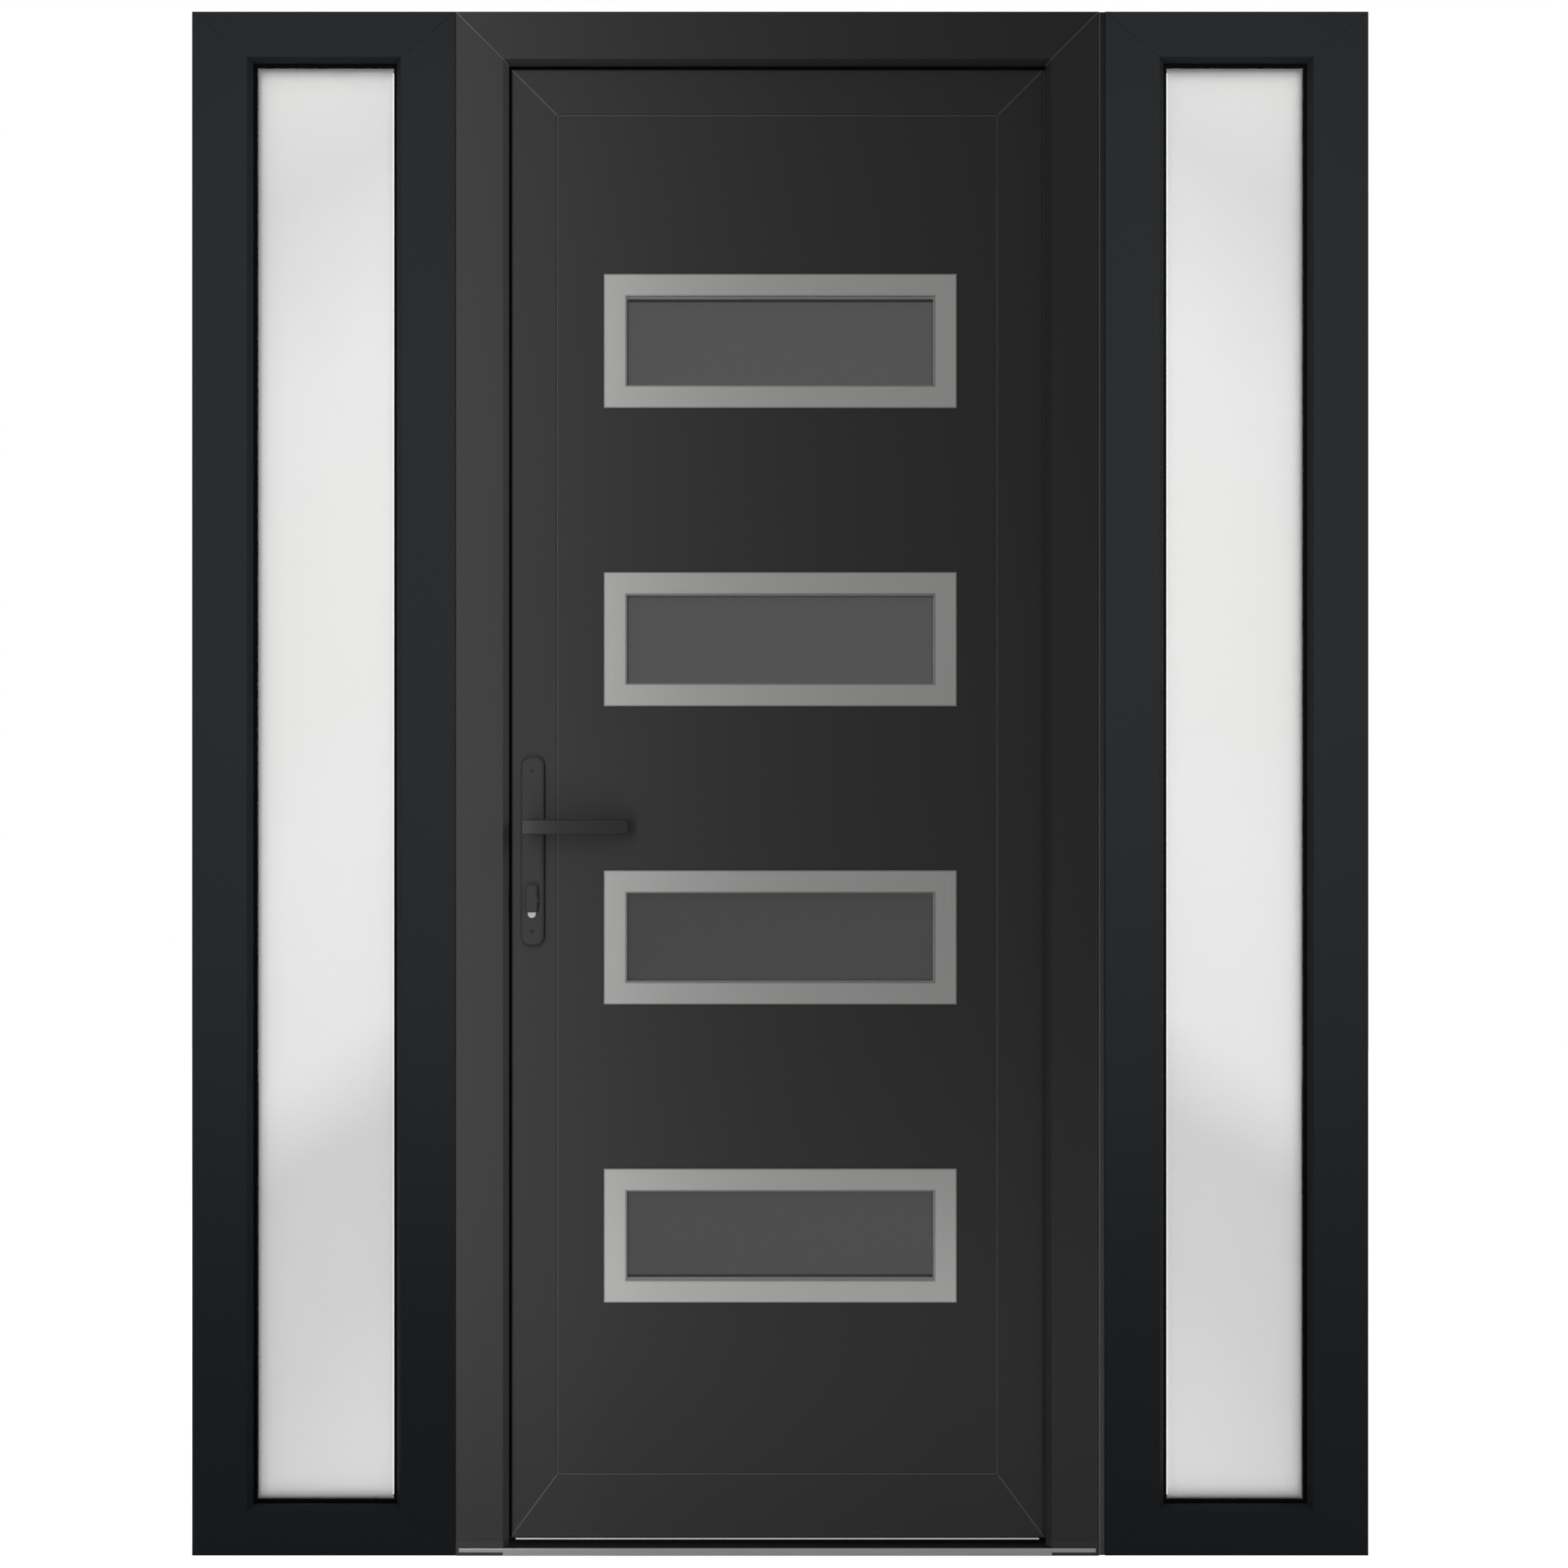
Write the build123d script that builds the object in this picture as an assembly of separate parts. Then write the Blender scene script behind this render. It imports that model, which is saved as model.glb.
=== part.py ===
from build123d import *
import math
import os

# An exterior door in its frame, with a fixed glazed sidelight on each side.
# Millimetres. +X is to the right seen from outdoors, +Y goes indoors, +Z is up.
# The origin is on the underside of the threshold, at mid-width and mid-depth of the frames.
# The leaf opens inwards on three hinges at the right. The lever turns on its spindle.

# Overall sizes
unit_height = 2150.0
door_frame_width = 896.0
sidelight_width = 367.0
frame_depth = 70.0
packer_width = 8.0
packer_setback = 3.0
edge_chamfer = 1.0

# Section of the door frame: a face, a bevel to the stop, and a stop in front of the leaf
frame_face = 66.0
frame_bevel_width = 7.0
frame_bevel_depth = 10.0
stop_thickness = 15.0
stop_reach = 22.0
foot_height = 22.0

# Section of the leaf: a body, and a flange that overlaps the frame indoors
leaf_thickness = 70.0
stop_gap = 5.0
flange_gap = 5.0
hardware_gap = 12.0
flange_overlap = 8.0
sash_width = 76.5
bottom_rail_height = 88.7
bottom_mitre_setback = 10.5
leaf_bottom = 19.1
sash_chamfer = 1.5
tongue_thickness = 16.0
tongue_reach = 10.0
hardware_groove_clearance = 0.2

# Infill panel and its four glazed slots
panel_recess = 1.0
panel_gap = 0.5
window_count = 4
window_width = 430.0
window_height = 124.0
window_pitch = 417.3
lowest_window_height = 442.5
window_shift = 4.0
trim_width = 32.4
trim_thickness = 2.5
trim_chamfer = 0.8
trim_wall = 3.0
trim_foot = 3.0
pane_thickness = 4.0
spacer_thickness = 20.0
spacer_width = 8.0
glass_edge_cover = 10.0
glass_edge_gap = 2.0

# Seals
seal_clearance = 0.3
frame_gasket_width = 12.0
frame_gasket_sight = 3.5
leaf_gasket_width = 5.0
leaf_gasket_inset = 2.0
bottom_seal_thickness = 8.0

# Threshold and drip bar
nose_height = 11.7
nose_depth = 4.0
nose_lift = 1.2
nose_tongue_height = 6.0
nose_edge_round = 1.5
nose_end_setback = 5.0
threshold_height = 13.0
threshold_ramp = 25.0
drip_bar_height = 2.4
drip_bar_fall = 0.6
drip_bar_projection = 8.0
drip_bar_end_setback = 6.0

# Section of the sidelight frames, which hold sealed double glazing
side_stile_face = 76.5
side_rail_face = 63.0
side_bevel_width = 6.5
side_bevel_depth = 9.0
side_stop_thickness = 15.0
glazing_rebate = 20.0
glazing_gasket_thickness = 3.0
glazing_gasket_sight = 4.3
side_spacer_width = 12.0
glass_packing = 5.0
bead_chamfer = 6.0

# Fixing holes through the outer stiles of the sidelights
fixing_radius = 4.0
fixing_from_end = 200.0
fixing_count = 4

# Door furniture
backset = 42.2
lever_height = 1015.0
lever_to_cylinder = 103.0
plate_width = 32.0
plate_length = 265.0
plate_above_lever = 98.0
plate_thickness = 10.0
plate_corner = 13.0
plate_bevel = 3.0
screw_inset = 20.5
screw_recess_radius = 2.6
screw_recess_depth = 1.5
neck_radius = 9.8
neck_clearance = 0.05
neck_setback = 2.0
neck_embed = 1.0
lever_length = 135.0
lever_rise = 20.4
lever_stand_off = 47.0
lever_root_thickness = 13.0
lever_tip_thickness = 9.0
lever_drop = 34.0
lever_tip_round = 7.0
lever_edge_round = 2.0
spindle_side = 8.0
spindle_hole_radius = 7.0
spindle_grip = 18.0
cylinder_radius = 8.5
cylinder_lobe_width = 11.0
cylinder_height = 33.0
cylinder_clearance = 0.3
cylinder_projection = 3.0
keyway_width = 1.6
keyway_height = 9.0
keyway_depth = 6.0
cover_width = 16.0
cover_height = 39.0
cover_rise = 3.0
cover_corner = 5.0
cover_projection = 9.0
cover_bevel = 1.5
cover_nub_height = 5.0
cover_nub_reach = 2.0

# Lock edge
faceplate_width = 20.0
faceplate_thickness = 3.0
faceplate_end_distance = 120.0
bolt_thickness = 12.0
latch_height = 30.0
deadbolt_height = 38.0
bolt_depth = 12.0
bolt_clearance = 0.4
strike_width = 24.0
strike_thickness = 2.5
strike_margin = 35.0
strike_pocket_depth = 14.0

# Hinges
hinge_count = 3
hinge_end_distance = 230.0
hinge_axis_inset = 32.0
hinge_axis_stand_off = 6.0
knuckle_radius = 8.0
knuckle_height = 45.0
knuckle_gap = 0.4
pin_radius = 4.0
pin_height = 34.0
pin_clearance = 0.06
knuckle_chamfer = 1.2
hinge_plate_thickness = 4.0
hinge_plate_reach = 34.0
hinge_frame_reach = 24.0

# Places worked out from the sizes above
front = -frame_depth / 2
back = frame_depth / 2
top = unit_height
unit_width = door_frame_width + packer_width + 2 * sidelight_width
unit_left = -unit_width / 2
frame_left = unit_left + sidelight_width
frame_right = frame_left + door_frame_width
side_right_left = frame_right + packer_width

frame_reach = frame_face + frame_bevel_width
frame_body = frame_reach - stop_reach
stop_back = front + stop_thickness

leaf_inset = frame_body + hardware_gap
leaf_left = frame_left + leaf_inset
leaf_right = frame_right - leaf_inset
leaf_top = top - leaf_inset
leaf_front = stop_back + stop_gap
leaf_back = leaf_front + leaf_thickness
leaf_middle = (leaf_front + leaf_back) / 2
flange_front = back + flange_gap
flange_reach = hardware_gap + flange_overlap

field_left = leaf_left + sash_width
field_right = leaf_right - sash_width
field_bottom = leaf_bottom + bottom_rail_height
field_top = leaf_top - sash_width
window_x = (field_left + field_right) / 2 + window_shift
panel_front = leaf_front + panel_recess
panel_back = leaf_back - panel_recess
window_heights = [lowest_window_height + window_pitch * n for n in range(window_count)]

lock_x = leaf_left + backset
cylinder_z = lever_height - lever_to_cylinder
plate_top = lever_height + plate_above_lever
plate_bottom = plate_top - plate_length

hinge_x = frame_right - hinge_axis_inset
hinge_y = leaf_back + hinge_axis_stand_off
hinge_span = (leaf_top - hinge_end_distance) - (leaf_bottom + hinge_end_distance)
hinge_heights = [
    leaf_bottom + hinge_end_distance + hinge_span * n / (hinge_count - 1) for n in range(hinge_count)
]


def block(x, y, z):
    """A box between a low and a high value on each axis."""
    middle = [(low + high) / 2 for low, high in (x, y, z)]
    return Pos(*middle) * Box(x[1] - x[0], y[1] - y[0], z[1] - z[0])


def polygon(points):
    return make_face(Polyline(points, close=True))


def upright(outline, z):
    """A bar along Z. Its outline is drawn in x and y."""
    return extrude(Pos(0, 0, z[0]) * outline, amount=z[1] - z[0], dir=(0, 0, 1))


def crosswise(outline, x):
    """A bar along X. Its outline is drawn in y and z."""
    return extrude(Plane.YZ.offset(x[0]) * outline, amount=x[1] - x[0], dir=(1, 0, 0))


def slab(outline, y):
    """A plate facing outdoors. Its outline is drawn in x and z."""
    return extrude(Plane.XZ.offset(-y[0]) * outline, amount=y[1] - y[0], dir=(0, 1, 0))


def rectangle(x, z):
    return Pos((x[0] + x[1]) / 2, (z[0] + z[1]) / 2) * Rectangle(x[1] - x[0], z[1] - z[0])


def ring(x, z, inset, y):
    """A rectangular ring facing outdoors, its outer edges at x and z, and its bars inset wide."""
    inner = rectangle((x[0] + inset, x[1] - inset), (z[0] + inset, z[1] - inset))
    return slab(rectangle(x, z) - inner, y)


def stile_bar(section, edge, inward, z):
    """An upright bar whose section is drawn from its outer edge inwards, and in y."""
    return upright(polygon([(edge + inward * reach, y) for reach, y in section]), z)


def rail_bar(section, edge, inward, x):
    """A level bar whose section is drawn in the same way."""
    return crosswise(polygon([(y, edge + inward * reach) for reach, y in section]), x)


def mitre_piece(bar, corners):
    """What is left of a bar between its mitres. The corners are in x and z."""
    depth = (front - leaf_thickness, leaf_back + leaf_thickness)
    return bar & slab(polygon(corners), depth)


# The door frame

def frame_section():
    """From the outer edge inwards: face, bevel, stop, and a rebate with a groove for the strike plate."""
    return [
        (0, front + edge_chamfer),
        (edge_chamfer, front),
        (frame_face, front),
        (frame_reach, front + frame_bevel_depth),
        (frame_reach, stop_back),
        (frame_body, stop_back),
        (frame_body, leaf_middle - strike_width / 2),
        (frame_body - strike_thickness, leaf_middle - strike_width / 2),
        (frame_body - strike_thickness, leaf_middle + strike_width / 2),
        (frame_body, leaf_middle + strike_width / 2),
        (frame_body, back),
        (0, back),
    ]


def frame_jamb(edge, inward):
    """A jamb from its foot block up to the mitre with the head."""
    z = (foot_height, top)
    tip = edge + inward * frame_reach
    corners = [(edge, z[0]), (tip, z[0]), (tip, top - frame_reach), (edge, top)]
    return mitre_piece(stile_bar(frame_section(), edge, inward, z), corners)


def frame_jamb_left():
    """The lock jamb, with pockets behind the strike plate for the latch and the bolt."""
    jamb = frame_jamb(frame_left, 1)
    rebate_face = frame_left + frame_body
    for middle, height in ((lever_height, latch_height), (cylinder_z, deadbolt_height)):
        jamb -= block(
            (rebate_face - strike_pocket_depth, rebate_face),
            bolt_span(),
            (middle - height / 2, middle + height / 2),
        )
    return jamb


def frame_head():
    bar = rail_bar(frame_section(), top, -1, (frame_left, frame_right))
    tip = top - frame_reach
    corners = [
        (frame_left, top),
        (frame_right, top),
        (frame_right - frame_reach, tip),
        (frame_left + frame_reach, tip),
    ]
    return mitre_piece(bar, corners)


def frame_feet():
    """The blocks that close the jambs' lower ends and join them to the threshold."""
    feet = []
    for edge, inward in ((frame_left, 1), (frame_right, -1)):
        feet.append(stile_bar(frame_section(), edge, inward, (0, foot_height)))
    return feet


def frame_gasket():
    """A rubber seal on the back of the stop, round the two sides and the top of the leaf."""
    sight = frame_reach + frame_gasket_sight
    far = sight - frame_gasket_width
    outer = rectangle((frame_left + far, frame_right - far), (foot_height, top - far))
    inner = rectangle((frame_left + sight, frame_right - sight), (foot_height, top - sight))
    return slab(outer - inner, (stop_back, leaf_front - seal_clearance))


def frame_packer():
    """The strip that fills the joint between the door frame and the right sidelight."""
    return block((frame_right, side_right_left), (front + packer_setback, back), (0, top))


def threshold_nose():
    """The aluminium nose in front of the frames, with a tongue across the feet of the jambs. Its lower
    edge stops just above the ground, so that water drips off it."""
    y = (front - nose_depth, front)
    tongue = block(
        (frame_left + nose_end_setback, frame_right - nose_end_setback),
        y,
        (nose_height - nose_tongue_height, nose_height),
    )
    middle = block((frame_left + frame_face, frame_right - frame_face), y, (nose_lift, nose_height))
    nose = tongue + middle
    upper_front = nose.edges().filter_by(Axis.X).group_by(Axis.Z)[-1].sort_by(Axis.Y)[0]
    return fillet(upper_front, nose_edge_round)


def threshold_base():
    """The plastic base between the feet. It ramps up from the nose to a flat under the leaf."""
    base = crosswise(
        polygon(
            [
                (front, 0),
                (back, 0),
                (back, threshold_height),
                (front + threshold_ramp, threshold_height),
                (front, nose_height),
            ]
        ),
        (frame_left + frame_body, frame_right - frame_body),
    )
    for edge, inward in ((frame_left, 1), (frame_right, -1)):
        base -= stile_bar(frame_section(), edge, inward, (0, foot_height))
    return base


# The sidelights

def side_section(face):
    reach = face + side_bevel_width
    rebate = reach - glazing_rebate
    stop = front + side_stop_thickness
    return [
        (0, front + edge_chamfer),
        (edge_chamfer, front),
        (face, front),
        (reach, front + side_bevel_depth),
        (reach, stop),
        (rebate, stop),
        (rebate, back),
        (0, back),
    ]


side_stile_reach = side_stile_face + side_bevel_width
side_rail_reach = side_rail_face + side_bevel_width
glass_front = front + side_stop_thickness + glazing_gasket_thickness
glass_back = glass_front + 2 * pane_thickness + spacer_thickness


def side_stile(left, inward):
    edge = left if inward > 0 else left + sidelight_width
    tip = edge + inward * side_stile_reach
    corners = [(edge, 0), (tip, side_rail_reach), (tip, top - side_rail_reach), (edge, top)]
    return mitre_piece(stile_bar(side_section(side_stile_face), edge, inward, (0, top)), corners)


def side_rail(left, edge, inward):
    right = left + sidelight_width
    tip = edge + inward * side_rail_reach
    corners = [
        (left, edge),
        (right, edge),
        (right - side_stile_reach, tip),
        (left + side_stile_reach, tip),
    ]
    return mitre_piece(rail_bar(side_section(side_rail_face), edge, inward, (left, right)), corners)


def side_fixing_heights():
    step = (unit_height - 2 * fixing_from_end) / (fixing_count - 1)
    return [fixing_from_end + step * n for n in range(fixing_count)]


def drill_fixings(stile, left, inward):
    """Screw holes through an outer stile, from its outer edge to the glazing rebate."""
    edge = left if inward > 0 else left + sidelight_width
    depth = side_stile_reach - glazing_rebate
    middle = edge + inward * depth / 2
    for z in side_fixing_heights():
        stile -= Pos(middle, 0, z) * Rot(0, 90, 0) * Cylinder(fixing_radius, depth)
    return stile


def side_field(left, inset):
    """The x and z limits of the sidelight's daylight opening, grown or taken in by an inset."""
    return (
        (left + side_stile_reach + inset, left + sidelight_width - side_stile_reach - inset),
        (side_rail_reach + inset, top - side_rail_reach - inset),
    )


def side_panes(left):
    """The two sheets of the sealed unit."""
    x, z = side_field(left, glass_packing - glazing_rebate)
    return [
        block(x, (glass_front, glass_front + pane_thickness), z),
        block(x, (glass_back - pane_thickness, glass_back), z),
    ]


def side_spacer(left):
    x, z = side_field(left, glass_packing - glazing_rebate)
    return ring(x, z, side_spacer_width, (glass_front + pane_thickness, glass_back - pane_thickness))


def side_gaskets(left):
    """The seals on the two faces of the glass: one on the stop, and one under the beads."""
    inset = glass_packing - glazing_rebate
    x, z = side_field(left, inset)
    width = glazing_gasket_sight - inset
    return [
        ring(x, z, width, (glass_front - glazing_gasket_thickness, glass_front)),
        ring(x, z, width, (glass_back, glass_back + glazing_gasket_thickness)),
    ]


def side_beads(left):
    """The glazing bead, four bars welded into one ring, with a bevel towards the glass."""
    x, z = side_field(left, -glazing_rebate)
    bead_front = glass_back + glazing_gasket_thickness
    beads = ring(x, z, glazing_rebate, (bead_front, back))
    inner_edges = beads.faces().sort_by(Axis.Y)[-1].inner_wires()[0].edges()
    return chamfer(inner_edges, bead_chamfer)


# The leaf

def leaf_section(width, flange):
    """The section of a stile or rail, from its outer edge inwards. The flange is its overlap indoors,
    and a flanged member has a groove in its edge for the lock's faceplate."""
    tongue = (leaf_middle - tongue_thickness / 2, leaf_middle + tongue_thickness / 2)
    half_groove = faceplate_width / 2 + hardware_groove_clearance
    outline = [
        (0, leaf_front + edge_chamfer),
        (edge_chamfer, leaf_front),
        (width - sash_chamfer, leaf_front),
        (width, leaf_front + sash_chamfer),
        (width, tongue[0]),
        (width + tongue_reach, tongue[0]),
        (width + tongue_reach, tongue[1]),
        (width, tongue[1]),
        (width, leaf_back - sash_chamfer),
        (width - sash_chamfer, leaf_back),
        (-flange + edge_chamfer, leaf_back),
        (-flange, leaf_back - edge_chamfer),
    ]
    if flange:
        outline += [
            (-flange, flange_front),
            (0, flange_front),
            (0, leaf_middle + half_groove),
            (faceplate_thickness, leaf_middle + half_groove),
            (faceplate_thickness, leaf_middle - half_groove),
            (0, leaf_middle - half_groove),
        ]
    return outline


def leaf_stile(edge, inward):
    """A stile: a 45 degree mitre at the top, and at the bottom a steeper one to the bottom rail, which
    starts a little in from the edge."""
    z = (leaf_bottom, leaf_top + flange_reach)
    bar = stile_bar(leaf_section(sash_width, flange_reach), edge, inward, z)
    full = sash_width + tongue_reach
    outer = edge - inward * flange_reach
    tip = edge + inward * full
    corners = [
        (outer, leaf_bottom),
        (edge + inward * bottom_mitre_setback, leaf_bottom),
        (tip, leaf_bottom + bottom_mitre_rise()),
        (tip, leaf_top - full),
        (outer, leaf_top + flange_reach),
    ]
    return mitre_piece(bar, corners)


def bottom_mitre_rise():
    """How far the bottom mitre climbs from the leaf's lower edge to the end of the tongue."""
    slope = bottom_rail_height / (sash_width - bottom_mitre_setback)
    return slope * (sash_width + tongue_reach - bottom_mitre_setback)


def bolt_span():
    return (leaf_middle - bolt_thickness / 2, leaf_middle + bolt_thickness / 2)


def leaf_stile_lock():
    """The stile at the handle, cut for the two bolts, the spindle and the cylinder."""
    stile = leaf_stile(leaf_left, 1)
    for middle, height in ((lever_height, latch_height), (cylinder_z, deadbolt_height)):
        stile -= bolt_block(middle, height, bolt_clearance)
    depth = (leaf_front - leaf_thickness, leaf_back + leaf_thickness)
    stile -= slab(Pos(lock_x, lever_height) * Circle(spindle_hole_radius), depth)
    stile -= slab(Pos(lock_x, cylinder_z) * cylinder_outline(cylinder_clearance), depth)
    return stile


def leaf_rail_top():
    bar = rail_bar(
        leaf_section(sash_width, flange_reach),
        leaf_top,
        -1,
        (leaf_left - flange_reach, leaf_right + flange_reach),
    )
    full = sash_width + tongue_reach
    corners = [
        (leaf_left - flange_reach, leaf_top + flange_reach),
        (leaf_right + flange_reach, leaf_top + flange_reach),
        (leaf_right - full, leaf_top - full),
        (leaf_left + full, leaf_top - full),
    ]
    return mitre_piece(bar, corners)


def leaf_rail_bottom():
    bar = rail_bar(leaf_section(bottom_rail_height, 0), leaf_bottom, 1, (leaf_left, leaf_right))
    full = sash_width + tongue_reach
    tip_z = leaf_bottom + bottom_mitre_rise()
    corners = [
        (leaf_left + bottom_mitre_setback, leaf_bottom),
        (leaf_right - bottom_mitre_setback, leaf_bottom),
        (leaf_right - full, tip_z),
        (leaf_left + full, tip_z),
    ]
    return mitre_piece(bar, corners)


def window_field(z, inset):
    """The x and z limits of a window's clear opening, taken in by an inset."""
    return (
        (window_x - window_width / 2 + inset, window_x + window_width / 2 - inset),
        (z - window_height / 2 + inset, z + window_height / 2 - inset),
    )


def leaf_panel():
    """The insulated panel, grooved all round for the tongue of the sash, with its window slots."""
    x = (field_left + panel_gap, field_right - panel_gap)
    z = (field_bottom + panel_gap, field_top - panel_gap)
    panel = block(x, (panel_front, panel_back), z)
    half_groove = tongue_thickness / 2 + panel_gap
    panel -= ring(x, z, tongue_reach, (leaf_middle - half_groove, leaf_middle + half_groove))
    for height in window_heights:
        cut = window_field(height, -glass_edge_cover - glass_edge_gap)
        panel -= block(cut[0], (panel_front, panel_back), cut[1])
    return panel


unit_thickness = 2 * pane_thickness + spacer_thickness
pane_front = leaf_middle - unit_thickness / 2
pane_back = leaf_middle + unit_thickness / 2


def window_trim(height, outwards):
    """A cassette frame of Z section: a flange on the panel, a wall in the slot, a foot on the glass."""
    if outwards:
        face, seat, glass = panel_front - trim_thickness, panel_front, pane_front
        wall, foot = (seat, glass - trim_foot), (glass - trim_foot, glass)
    else:
        face, seat, glass = panel_back + trim_thickness, panel_back, pane_back
        wall, foot = (glass + trim_foot, seat), (glass, glass + trim_foot)
    flange_x, flange_z = window_field(height, -trim_width)
    flange = ring(flange_x, flange_z, trim_width, (min(face, seat), max(face, seat)))
    outermost = flange.faces().filter_by(Axis.Y).sort_by(Axis.Y)[0 if outwards else -1]
    flange = chamfer(outermost.outer_wire().edges(), trim_chamfer)
    wall_x, wall_z = window_field(height, -trim_wall)
    foot_x, foot_z = window_field(height, -glass_edge_cover)
    return (
        flange
        + ring(wall_x, wall_z, trim_wall, wall)
        + ring(foot_x, foot_z, glass_edge_cover, foot)
    )


def window_panes(height):
    x, z = window_field(height, -glass_edge_cover)
    return [
        block(x, (pane_front, pane_front + pane_thickness), z),
        block(x, (pane_back - pane_thickness, pane_back), z),
    ]


def window_spacer(height):
    x, z = window_field(height, -glass_edge_cover)
    return ring(x, z, spacer_width, (pane_front + pane_thickness, pane_back - pane_thickness))


def leaf_gasket():
    """A rubber seal under the leaf's flange, which closes against the frame indoors."""
    outer_inset = leaf_gasket_inset - flange_reach
    inner_inset = outer_inset + leaf_gasket_width
    outer = rectangle(
        (leaf_left + outer_inset, leaf_right - outer_inset), (leaf_bottom, leaf_top - outer_inset)
    )
    inner = rectangle(
        (leaf_left + inner_inset, leaf_right - inner_inset), (leaf_bottom, leaf_top - inner_inset)
    )
    return slab(outer - inner, (back + seal_clearance, flange_front))


def bottom_seal():
    """The sweep under the leaf, which wipes the flat of the threshold."""
    return block(
        (leaf_left, leaf_right),
        (leaf_middle - bottom_seal_thickness / 2 - threshold_ramp / 2,
         leaf_middle + bottom_seal_thickness / 2 - threshold_ramp / 2),
        (threshold_height + seal_clearance, leaf_bottom),
    )


def drip_bar():
    """The aluminium bar along the foot of the leaf that throws rain clear of the threshold."""
    section = [
        (leaf_front, leaf_bottom),
        (leaf_front, leaf_bottom + drip_bar_height + drip_bar_fall),
        (leaf_front - drip_bar_projection, leaf_bottom + drip_bar_height),
        (leaf_front - drip_bar_projection, leaf_bottom),
    ]
    stop_edge = frame_reach + frame_gasket_sight + drip_bar_end_setback
    return crosswise(polygon(section), (frame_left + stop_edge, frame_right - stop_edge))


# The lock edge

def faceplate_span():
    return (leaf_bottom + faceplate_end_distance, leaf_top - faceplate_end_distance)


def bolt_block(middle, height, clearance):
    y = bolt_span()
    return block(
        (leaf_left, leaf_left + bolt_depth),
        (y[0] - clearance, y[1] + clearance),
        (middle - height / 2 - clearance, middle + height / 2 + clearance),
    )


def lock_faceplate():
    """The long strip with round ends, flush in the groove of the lock stile."""
    low, high = faceplate_span()
    outline = Pos(leaf_middle, (low + high) / 2) * SlotOverall(high - low, faceplate_width, 90)
    plate = crosswise(outline, (leaf_left, leaf_left + faceplate_thickness))
    for middle, height in ((lever_height, latch_height), (cylinder_z, deadbolt_height)):
        plate -= bolt_block(middle, height, bolt_clearance)
    return plate


def latch_and_bolt():
    """The heads of the latch and the deadbolt, drawn back flush with the faceplate."""
    return [
        bolt_block(lever_height, latch_height, 0),
        bolt_block(cylinder_z, deadbolt_height, 0),
    ]


def strike_plate():
    """The plate in the groove of the lock jamb, with a hole for the latch and a hole for the bolt."""
    rebate_face = frame_left + frame_body
    low = cylinder_z - deadbolt_height / 2 - strike_margin
    high = lever_height + latch_height / 2 + strike_margin
    outline = Pos(leaf_middle, (low + high) / 2) * Rectangle(strike_width, high - low)
    plate = crosswise(outline, (rebate_face - strike_thickness, rebate_face))
    for middle, height in ((lever_height, latch_height), (cylinder_z, deadbolt_height)):
        plate -= block(
            (rebate_face - strike_thickness, rebate_face),
            bolt_span(),
            (middle - height / 2, middle + height / 2),
        )
    return plate


# The handle set

def cylinder_outline(clearance):
    """The keyhole outline of a profile cylinder: a round barrel over a narrow lobe."""
    lobe_radius = cylinder_lobe_width / 2 + clearance
    lobe_drop = cylinder_height - cylinder_radius - cylinder_lobe_width / 2
    return (
        Circle(cylinder_radius + clearance)
        + Pos(0, -lobe_drop / 2) * Rectangle(2 * lobe_radius, lobe_drop)
        + Pos(0, -lobe_drop) * Circle(lobe_radius)
    )


def handle_plate(outwards):
    """The long plate: round ends, bevelled edges, a bore for the lever's neck and a cylinder hole."""
    seat = leaf_front if outwards else leaf_back
    face = seat - plate_thickness if outwards else seat + plate_thickness
    y = (min(seat, face), max(seat, face))
    middle = (plate_top + plate_bottom) / 2
    outline = Pos(lock_x, middle) * RectangleRounded(plate_width, plate_length, plate_corner)
    plate = slab(outline, y)
    front_face = plate.faces().filter_by(Axis.Y).sort_by(Axis.Y)[0 if outwards else -1]
    plate = chamfer(front_face.edges(), plate_bevel)
    plate -= slab(Pos(lock_x, lever_height) * Circle(neck_radius + neck_clearance), y)
    plate -= slab(Pos(lock_x, cylinder_z) * cylinder_outline(cylinder_clearance), y)
    depth = screw_recess_depth
    recess = (face, face + depth) if outwards else (face - depth, face)
    for z in (plate_top - screw_inset, plate_bottom + screw_inset):
        plate -= slab(Pos(lock_x, z) * Circle(screw_recess_radius), recess)
    return plate


def keyhole_cover():
    """The closed cover over the barrel of the cylinder, with a nub at its side for the fingertip."""
    face = leaf_front - plate_thickness
    outline = Pos(lock_x, cylinder_z + cover_rise) * RectangleRounded(
        cover_width, cover_height, cover_corner
    )
    cover = slab(outline, (face - cover_projection, face))
    cover = chamfer(cover.faces().sort_by(Axis.Y)[0].edges(), cover_bevel)
    nub = block(
        (lock_x + cover_width / 2 - cover_nub_reach, lock_x + cover_width / 2 + cover_nub_reach),
        (face - cover_projection / 2, face),
        (cylinder_z + cover_rise - cover_nub_height / 2, cylinder_z + cover_rise + cover_nub_height / 2),
    )
    return cover + nub


def lock_cylinder():
    """The cylinder right through the leaf and both plates, with a keyway at each end. Outdoors it is
    flush with its plate, behind the cover, and indoors it stands proud."""
    y = (leaf_front - plate_thickness, leaf_back + plate_thickness + cylinder_projection)
    cylinder = slab(Pos(lock_x, cylinder_z) * cylinder_outline(0), y)
    keyway = Pos(lock_x, cylinder_z) * Rectangle(keyway_width, keyway_height)
    cylinder -= slab(keyway, (y[0], y[0] + keyway_depth))
    cylinder -= slab(keyway, (y[1] - keyway_depth, y[1]))
    return cylinder


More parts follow.
